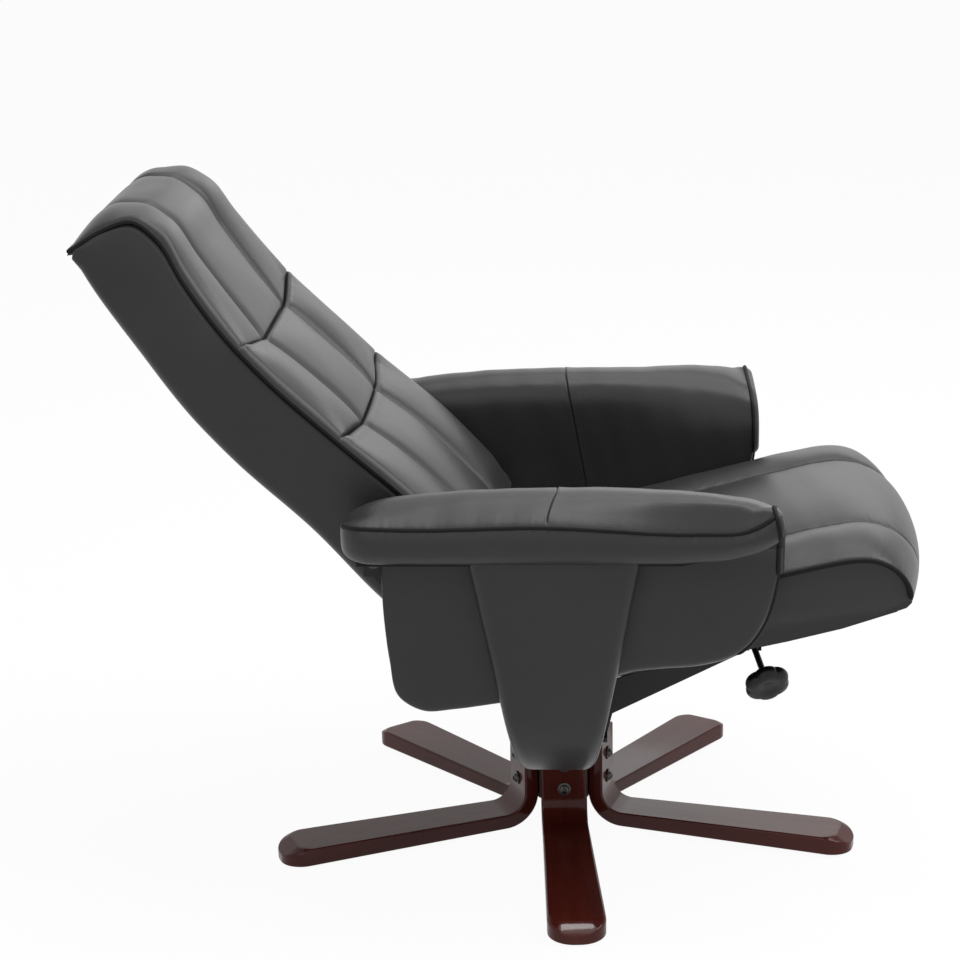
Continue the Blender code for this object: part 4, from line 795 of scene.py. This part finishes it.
def arm_stations():
    """Places along the arm, closer at its round rear end, the panel's rear edge, the cross seam and the front."""
    nose = ARM_REAR + ARM_NOSE * (1 - np.cos(np.linspace(0.06, math.pi / 2, 22)))
    panel = ARM_PANEL_REAR + 0.022 * np.linspace(0, 1, 24) ** 1.6
    middle = np.linspace(ARM_PANEL_REAR + 0.024, ARM_FLARE_START, 110)
    seam = ARM_SEAM + ARM_SEAM_REACH * np.linspace(-1, 1, 41) ** 3
    front = np.linspace(ARM_FLARE_START, ARM_FACE, 54)[1:]
    face = ARM_FACE + (ARM_FRONT - ARM_FACE) * np.sin(np.linspace(0, math.pi / 2, 12))[1:]
    middle = middle[np.abs(middle - ARM_SEAM) > ARM_SEAM_REACH + 0.0005]
    return np.sort(np.concatenate([nose[nose < ARM_PANEL_REAR - 0.0005], panel, middle, seam, front, face]))


def smooth_rings(controls, count):
    """Closed smooth outlines through control points, all stations at once: cubic pieces with matched slopes."""
    size = controls.shape[1]
    at = np.linspace(0, size, count, endpoint=False)
    i, t = at.astype(int), (at - at.astype(int))[None, :, None]
    one, two = controls[:, i], controls[:, (i + 1) % size]
    before, after = controls[:, (i - 1) % size], controls[:, (i + 2) % size]
    return cubic(t, one, two, OUTLINE_TENSION * (two - before), OUTLINE_TENSION * (after - one))


def arm_points(side):
    """Rings of one arm from rear to front: drawn in round at the rear end, closed in a soft face at the front end.

    Near the cross seam the rings slant, back at the outer edge and forward at the foot of the inner face.
    """
    x = arm_stations()
    outline = smooth_rings(arm_sections(x), ARM_CONTROLS * ARM_RING)
    share = np.sqrt(1 - (np.clip(ARM_REAR + ARM_NOSE - x, 0, None) / (ARM_NOSE + 0.0002)) ** 2)[:, None]
    bulge = np.clip((x - ARM_FACE) / (ARM_FRONT - ARM_FACE), 0, 1)
    run = np.roll(outline, -1, axis=1) - np.roll(outline, 1, axis=1)
    inwards = unit(run[..., ::-1] * (1, -1))
    outline = outline + inwards * (ARM_FACE_ROUND * (1 - np.sqrt(1 - bulge**2)))[:, None, None]
    nose_out, nose_up = ARM_NOSE_AT[0], ARM_SPLIT + ARM_NOSE_AT[1]
    out = nose_out + (outline[..., 0] - nose_out) * (0.30 + 0.70 * share)
    up = nose_up + (outline[..., 1] - nose_up) * (0.52 + 0.48 * share)
    front = np.clip((x - ARM_FLARE_START) / (ARM_FRONT - ARM_FLARE_START), 0, 1)[:, None] ** 1.5
    rise = np.clip((up - ARM_SETBACK_FOOT) / (ARM_CORNER_HEIGHT - ARM_SETBACK_FOOT), 0, 1.1)
    back, ahead = ease(out, 0.048, ARM_LIP_REACH), np.clip((0.545 - up) / 0.115, 0, 1.3) * ease(out, 0.045, 0.015)
    slant = (0.021 * ahead - 0.0115 * back) * bell(x[:, None] - ARM_SEAM, 0.06)
    points = np.stack([x[:, None] + slant - ARM_SETBACK * front * rise**3, side * (ARM_INNER + out), up], -1)
    along, round_ring = np.gradient(points, axis=0), np.gradient(points, axis=1)
    normal = unit(side * np.cross(along, round_ring))
    return points + normal * arm_sewing(x[:, None], out, up)[..., None]


def arm_sewing(x, out, up):
    """The seam across the top of the arm and down its inner face, with short tucks beside it and at the piping."""
    on_top = ease(out, ARM_LIP_REACH - 0.002, ARM_LIP_REACH - 0.008) * ease(up, 0.30, 0.34)
    on_top = on_top * np.where((out > 0.02) & (up < ARM_SPLIT + 0.02), 0, 1)
    off = np.abs(x - ARM_SEAM)
    lap = 0.0009 * ease(x, ARM_SEAM, ARM_SEAM + 0.0008) * np.exp(-np.clip(x - ARM_SEAM, 0, None) / 0.008)
    groove = lap - 0.0016 * bell(off, 0.0010)
    tuck = 0.00030 * ripple(up * 260 + out * 260, x * 12, 1.1) * np.exp(-off / 0.012)
    to_piping = np.abs(up - height_on(ARM_PIPING, x)) + np.clip(ARM_LIP_REACH - out, 0, None)
    pull = 0.00040 * ripple(x * 160, up * 9, 5.0) * np.exp(-to_piping / 0.018)
    drape = 0.0005 * ripple(x * 31, up * 30 + out * 30, 1.7)
    return on_top * (groove + tuck) + (pull + drape) * ease(x, ARM_FRONT, ARM_FRONT - 0.02)


def arm_piping_paths(side):
    """Piping of one arm: along the outer edge from rear to front, and a loop round the front face."""
    x, rings = arm_stations(), arm_points(side)
    edge = rings[(x > ARM_REAR + 0.002) & (x < ARM_FACE + 0.001)][:, ARM_EDGE_CONTROL * ARM_RING]
    at_face = np.argmin(np.abs(x - ARM_FACE))
    rising = slice(np.searchsorted(x, 0.215), at_face)
    foot = ARM_FOOT_CONTROL * ARM_RING
    return edge, np.vstack([rings[rising, foot], rings[at_face, foot::-1], rings[rising, 0][::-1]])


def build_arms():
    """Both arms' covers, each closed across its front ring, and their piping."""
    for word, side in SIDES:
        rings = arm_points(side)
        count, size = rings.shape[:2]
        faces = loft_faces(count, size)[:-1] + zip_faces((count - 1) * size, size)
        cover = new_piece(f"arm_cover_{word}", rings.reshape(-1, 3), faces, hide, "frame")
        upholster(cover, 0.9, f"arm_pad_{word}", f"arm_panel_{word}")
        for place, path in zip(("edge", "front"), arm_piping_paths(side)):
            trim(f"arm_piping_{place}_{word}", even_path(path, ARM_PIPING_STEP), "frame", ARM_PIPING_RADIUS)


# Uprights


def soft_box(half, low, high, low_round, high_round, per=7, top=(0.05, 0.33, 0.67, 0.95)):
    """Rounded oblongs about x = 0, one for each station: four quarter circles, joined by points along each side."""
    a = np.linspace(0, math.pi / 2, per)
    half, low, high, low_round, high_round = np.broadcast_arrays(half, low, high, low_round, high_round)
    arcs = []
    for sign, is_high, start in ((1, False, -0.5), (1, True, 0.0), (-1, True, 0.5), (-1, False, 1.0)):
        r = (high_round if is_high else low_round)[:, None]
        centre = sign * (half[:, None] - r), (high[:, None] - r if is_high else low[:, None] + r)
        turn = start * math.pi + a
        arcs.append(np.stack([centre[0] + r * np.cos(turn), centre[1] + r * np.sin(turn)], -1))
    ring = []
    for number, (arc, following) in enumerate(zip(arcs, arcs[1:] + arcs[:1])):
        ring.append(arc)
        places = top if number == 1 else (0.05, 0.33, 0.67, 0.95)
        ring += [(arc[:, -1:] * (1 - t) + following[:, :1] * t) for t in places]
    return np.concatenate(ring, axis=1)


def upright_points(word, side):
    """Rings of a wedge-shaped upright: a padded board that tapers down, bends under the seat and runs to the yoke."""
    low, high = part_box(f"upright_{word}")
    floor, top = low.z + UPRIGHT_THICKNESS / 2, high.z + UPRIGHT_UNDER_ARM
    middle = UPRIGHT_INNER + UPRIGHT_THICKNESS / 2
    centre_y, centre_z = middle - UPRIGHT_BEND, floor + UPRIGHT_BEND
    down = np.linspace(0, 1, 60)
    bend = np.linspace(0, math.pi / 2, 48)[1:]
    foot_y = np.linspace(centre_y, UPRIGHT_FOOT_END, 14)[1:]
    straight_y = middle + UPRIGHT_LEAN * (1 - down)
    y = np.concatenate([straight_y, centre_y + UPRIGHT_BEND * np.cos(bend), foot_y])
    z = np.concatenate([top + (centre_z - top) * down, centre_z - UPRIGHT_BEND * np.sin(bend), floor + 0 * foot_y])
    turn = np.concatenate([0 * down, bend, math.pi / 2 + 0 * foot_y])
    share = np.clip((z - floor) / (top - floor), 0, 1)
    half = (UPRIGHT_FOOT_WIDTH + (UPRIGHT_TOP_WIDTH - UPRIGHT_FOOT_WIDTH) * share) / 2
    thick = UPRIGHT_THICKNESS / 2
    section = soft_box(half, -thick, thick, UPRIGHT_INNER_EDGE, UPRIGHT_OUTER_EDGE, 10)
    x, up = section[..., 0], section[..., 1]
    swell = UPRIGHT_SWELL * (1 - (x / half[:, None]) ** 2) * (up > 0) * ease(turn, 1.2, 0.4)[:, None]
    drape = 0.0005 * ripple(x * 60 + z[:, None] * 20, z[:, None] * 30, 2.4) * (up > 0)
    up = up + swell + drape
    y, z = y[:, None] + up * np.cos(turn)[:, None], z[:, None] - up * np.sin(turn)[:, None]
    return np.stack([x, side * y, z], -1)


def build_uprights():
    """Both uprights' covers."""
    for word, side in SIDES:
        cover = lofted(f"upright_cover_{word}", upright_points(word, side), hide, "frame")
        upholster(cover, 1.0, f"upright_{word}")


# Rails


def build_webs():
    """Flat side plates of the rails, with bevelled rims: a straight foot, and an upper edge that falls to the front."""
    c, s = math.cos(RAIL_SLOPE), math.sin(RAIL_SLOPE)
    outline = np.array(WEB_OUTLINE) @ ((c, s), (-s, c)) + (RAIL_REAR, RAIL_REAR_HEIGHT)
    middle = outline.mean(0)
    out, size = np.array(WEB_RINGS).T[..., None]
    for word, side in SIDES:
        rings = seen_from_side(middle + (outline - middle) * size[..., None], side * (RAIL_FACE + out))
        lofted(f"rail_web_{word}", rings, steel, "frame", smooth=False)


# Legs


def leg_rings():
    """Rings of one leg along +X and the grain's place on them: tab, bend, and a run that widens to a round tip.

    The upper edges are nearly square along the leg. The flat top ends short of the tip in an edge with round corners,
    and beyond that the top slopes down to the rim.
    """
    tab = LEG_TAB_FACE + LEG_ROOT_THICKNESS / 2
    tip_z = GLIDE_HEIGHT + LEG_TIP_THICKNESS / 2
    bend_x = tab + LEG_BEND_RADIUS
    slope = math.atan2(LEG_RISE, LEG_REACH - bend_x)
    centre_z = tip_z + LEG_RISE + LEG_BEND_RADIUS
    corner = np.linspace(0, math.pi / 2, 6)
    cut = LEG_TAB_ROUND * (1 - np.cos(corner))
    tab_z = np.concatenate([LEG_TAB_TOP - cut, np.linspace(LEG_TAB_TOP - 0.006, centre_z, 8)])
    a = np.linspace(0, math.pi / 2 - slope, 30)[1:]
    bend = np.column_stack([bend_x - LEG_BEND_RADIUS * np.cos(a), centre_z - LEG_BEND_RADIUS * np.sin(a)])
    end = np.array([LEG_REACH, tip_z])
    reach = np.linalg.norm(bend[-1] - end)
    round_tip = LEG_TIP_CORNER * (1 - np.sin(np.linspace(0, math.pi / 2, 40)))
    coarse, close = np.linspace(reach - 0.006, 0.054, 36), np.linspace(0.052, LEG_TIP_CORNER + 0.001, 18)
    back = np.concatenate([coarse, close, round_tip])
    run = end + (bend[-1] - end) / reach * back[:, None]
    path = np.vstack([np.column_stack([tab + 0 * tab_z, tab_z]), bend, run])
    turn = np.concatenate([0 * tab_z, a, math.pi / 2 - slope + 0 * back])
    x = path[:, 0]
    share = np.clip((x - bend_x) / (LEG_REACH - bend_x), 0, 1)
    half = (LEG_ROOT_WIDTH + (LEG_TIP_WIDTH - LEG_ROOT_WIDTH) * share) / 2
    thick = LEG_ROOT_THICKNESS + (LEG_TIP_THICKNESS - LEG_ROOT_THICKNESS) * share
    to_tip = np.clip(LEG_TIP_CORNER - (LEG_REACH - x), 0, LEG_TIP_CORNER)
    half = half - (LEG_TIP_CORNER - np.sqrt(LEG_TIP_CORNER**2 - to_tip**2))
    half[:6] -= LEG_TAB_NARROW * (1 - np.sin(corner))
    over_top = 0.5 - 0.5 * np.cos(np.linspace(0, math.pi, 27)[1:-1])
    section = soft_box(half, -thick / 2, thick / 2, LEG_EDGE, LEG_EDGE, 7, over_top)
    across, up = section[..., 0], section[..., 1]
    wide, deep = LEG_TOP_CORNER
    past_side = np.clip(np.abs(across) - (LEG_TIP_WIDTH / 2 - wide), 0, None)
    past_end = np.clip(x[:, None] - (LEG_REACH - LEG_TIP_BEVEL - deep), 0, None)
    ratio = np.hypot(past_side / wide, past_end / deep)
    past = ratio * (ratio - 1) / np.maximum(np.hypot(past_side / wide**2, past_end / deep**2), 1e-6)
    past = 0.5 * (past + np.hypot(past, LEG_BEVEL_EDGE)) * (past_end > 0)
    up = up - (LEG_BEVEL_SLOPE * past + LEG_BEVEL_BEND * past**2) * (0.5 + up / thick[:, None])
    c, s = np.cos(turn)[:, None], np.sin(turn)[:, None]
    points = np.stack([path[:, None, 0] + up * c, across, path[:, None, 1] + up * s], -1)
    grain = np.stack(np.broadcast_arrays(lengths_along(path)[:, None], across + 0.35 * up), -1)
    return points, grain


def build_legs():
    """Five like legs, turned about the swivel axis, each cut from another place in the grain."""
    points, grain = leg_rings()
    for number in range(LEG_COUNT):
        turn = LEG_TURN + 2 * math.pi * number / LEG_COUNT
        spun = points @ np.array(Matrix.Rotation(turn, 3, "Z")).T
        offset = grain.reshape(-1, 2) + (0.83 * number, 0.31 * number)
        leg = lofted(f"bent_leg_{number + 1}", spun, mahogany, "base", uv=offset)
        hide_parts(f"leg_{number + 1}")


# Clamp knob


def knob_points():
    """Rings of the knob along its axis: a lobed rim, a domed outer face with a shallow dish, a neck behind."""
    around = np.linspace(0, 2 * math.pi, 120, endpoint=False)
    lobe = np.abs(np.cos(KNOB_LOBES / 2 * around)) ** 0.75
    profile = curve_through(KNOB_PROFILE, np.linspace(0, 1, 46))
    bite = np.clip((profile[:, 0] - 0.45) / 0.55, 0, 1) ** 1.5
    radius = KNOB_RADIUS * profile[:, :1] - 2 * KNOB_LOBE_DEPTH * bite[:, None] * (1 - lobe)[None]
    rise = np.broadcast_to(KNOB_THICKNESS * profile[:, 1:], radius.shape)
    points = np.stack([radius * np.cos(around), radius * np.sin(around), rise], -1)
    turn = np.array(Vector((0, 0, 1)).rotation_difference(Vector(KNOB_AXIS)).to_matrix())
    return points @ turn.T + KNOB_CENTRE - SWIVEL


def build_knob():
    """The clamp knob."""
    knob = lofted("lobed_knob", knob_points(), plastic, "knob")
    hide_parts("clamp_knob")


# Finishes of the CAD nodes that stay


def dress_nodes():
    """Finishes by the start of a node's name, and black steel for the rest."""
    finishes = {
        ("leg_bolt", "pivot_bolt", "clamp_rod"): bolts,
        ("glide",): felt,
        ("swivel_bush", "thrust_washer", "slide_shoe"): nylon,
        ("arm_board", "seat_pan"): board,
    }
    for name, node in frame["nodes"].items():
        material = next((m for starts, m in finishes.items() if name.startswith(starts)), steel)
        node.data.materials.clear()
        node.data.materials.append(material)


# Studio


def studio_floor():
    """Pale floor: white where it is looked at or mirrored, with a share of its own shading, which keeps the shadow."""
    mesh = bpy.data.meshes.new("studio_floor")
    size = 14.0
    mesh.from_pydata([(-size, -size, 0), (size, -size, 0), (size, size, 0), (-size, size, 0)], [], [(0, 1, 2, 3)])
    floor = bpy.data.objects.new("studio_floor", mesh)
    bpy.context.scene.collection.objects.link(floor)
    material, coords, set_sockets = finish("pale floor", specular=0.1)
    set_sockets(Base_Color=noise(coords, 3.0).mix((0.90,) * 3, (0.93,) * 3), Roughness=0.9)
    tree = material.node_tree
    glow, mixed = tree.nodes.new("ShaderNodeEmission"), tree.nodes.new("ShaderNodeMixShader")
    tree.links.new((looked_at(coords) * 0.95).socket, mixed.inputs["Fac"])
    tree.links.new(tree.nodes["Principled BSDF"].outputs[0], mixed.inputs[1])
    tree.links.new(glow.outputs[0], mixed.inputs[2])
    tree.links.new(mixed.outputs[0], tree.nodes["Material Output"].inputs["Surface"])
    mesh.materials.append(material)


def looked_at(start):
    """One for rays from the camera, mirrored rays and rays through glass, and nothing for the rest."""
    kinds = ("Is Camera Ray", "Is Glossy Ray", "Is Transmission Ray")
    first, second, third = (start.node("LightPath", out=kind) for kind in kinds)
    return first.math("ADD", first + second, third, clamp=True)


def softbox(name, place, aim, size, power):
    """A large soft lamp that faces a point."""
    lamp = bpy.data.lights.new(name, "AREA")
    lamp.shape, lamp.size, lamp.size_y = "RECTANGLE", size[0], size[1]
    lamp.energy = power
    obj = bpy.data.objects.new(name, lamp)
    facing = (Vector(aim) - Vector(place)).to_track_quat("-Z", "Y")
    obj.matrix_world = Matrix.Translation(place) @ facing.to_matrix().to_4x4()
    bpy.context.scene.collection.objects.link(obj)


def studio_light():
    """White surround to the camera and to reflections, a dimmer one as light, and five softboxes."""
    world = bpy.data.worlds.new("studio")
    bpy.context.scene.world = world
    world.use_nodes = True
    tree = world.node_tree
    back = tree.nodes["Background"]
    tree.links.new((looked_at(Term(tree)) * 0.65 + 0.35).socket, back.inputs["Strength"])
    back.inputs["Color"].default_value = (1, 1, 1, 1)
    softbox("front box", (2.4, -0.4, 3.2), (0.0, 0.0, 0.5), (2.2, 2.2), 80)
    softbox("top box", (0.4, 0.6, 3.4), (0.0, 0.0, 0.4), (2.6, 2.6), 52)
    softbox("spark box", (0.2, -0.38, 3.0), (0.1, -0.2, 0.0), (0.40, 0.40), 8)
    softbox("near box", (-1.2, -3.4, 2.4), (0.0, 0.0, 0.4), (1.8, 1.8), 16)
    softbox("far box", (1.0, 3.2, 1.9), (-0.3, 0.0, 0.6), (2.2, 1.2), 10)


def camera_at_photo():
    """Camera turned by yaw, pitch and roll, as fitted."""
    yaw, pitch, roll = CAMERA_YAW, CAMERA_PITCH, CAMERA_ROLL
    ahead = Vector((math.sin(yaw) * math.cos(pitch), math.cos(yaw) * math.cos(pitch), -math.sin(pitch)))
    right = Vector((math.cos(yaw), -math.sin(yaw), 0))
    up = right.cross(ahead)
    right, up = right * math.cos(roll) + up * math.sin(roll), up * math.cos(roll) - right * math.sin(roll)
    data = bpy.data.cameras.new("camera")
    data.lens, data.sensor_width = CAMERA_LENS, CAMERA_SENSOR
    data.clip_start, data.clip_end = 0.05, 60.0
    camera = bpy.data.objects.new("camera", data)
    turned = Matrix((right, up, -ahead)).transposed().to_4x4()
    camera.matrix_world = Matrix.Translation(Vector(SWIVEL) + Vector(CAMERA_FROM_SWIVEL)) @ turned
    bpy.context.scene.collection.objects.link(camera)
    bpy.context.scene.camera = camera


build_back()
build_flap()
build_seat()
build_arms()
build_uprights()
build_webs()
build_legs()
build_knob()
dress_nodes()
studio_floor()
studio_light()
camera_at_photo()
bpy.context.scene.view_settings.view_transform = "Standard"
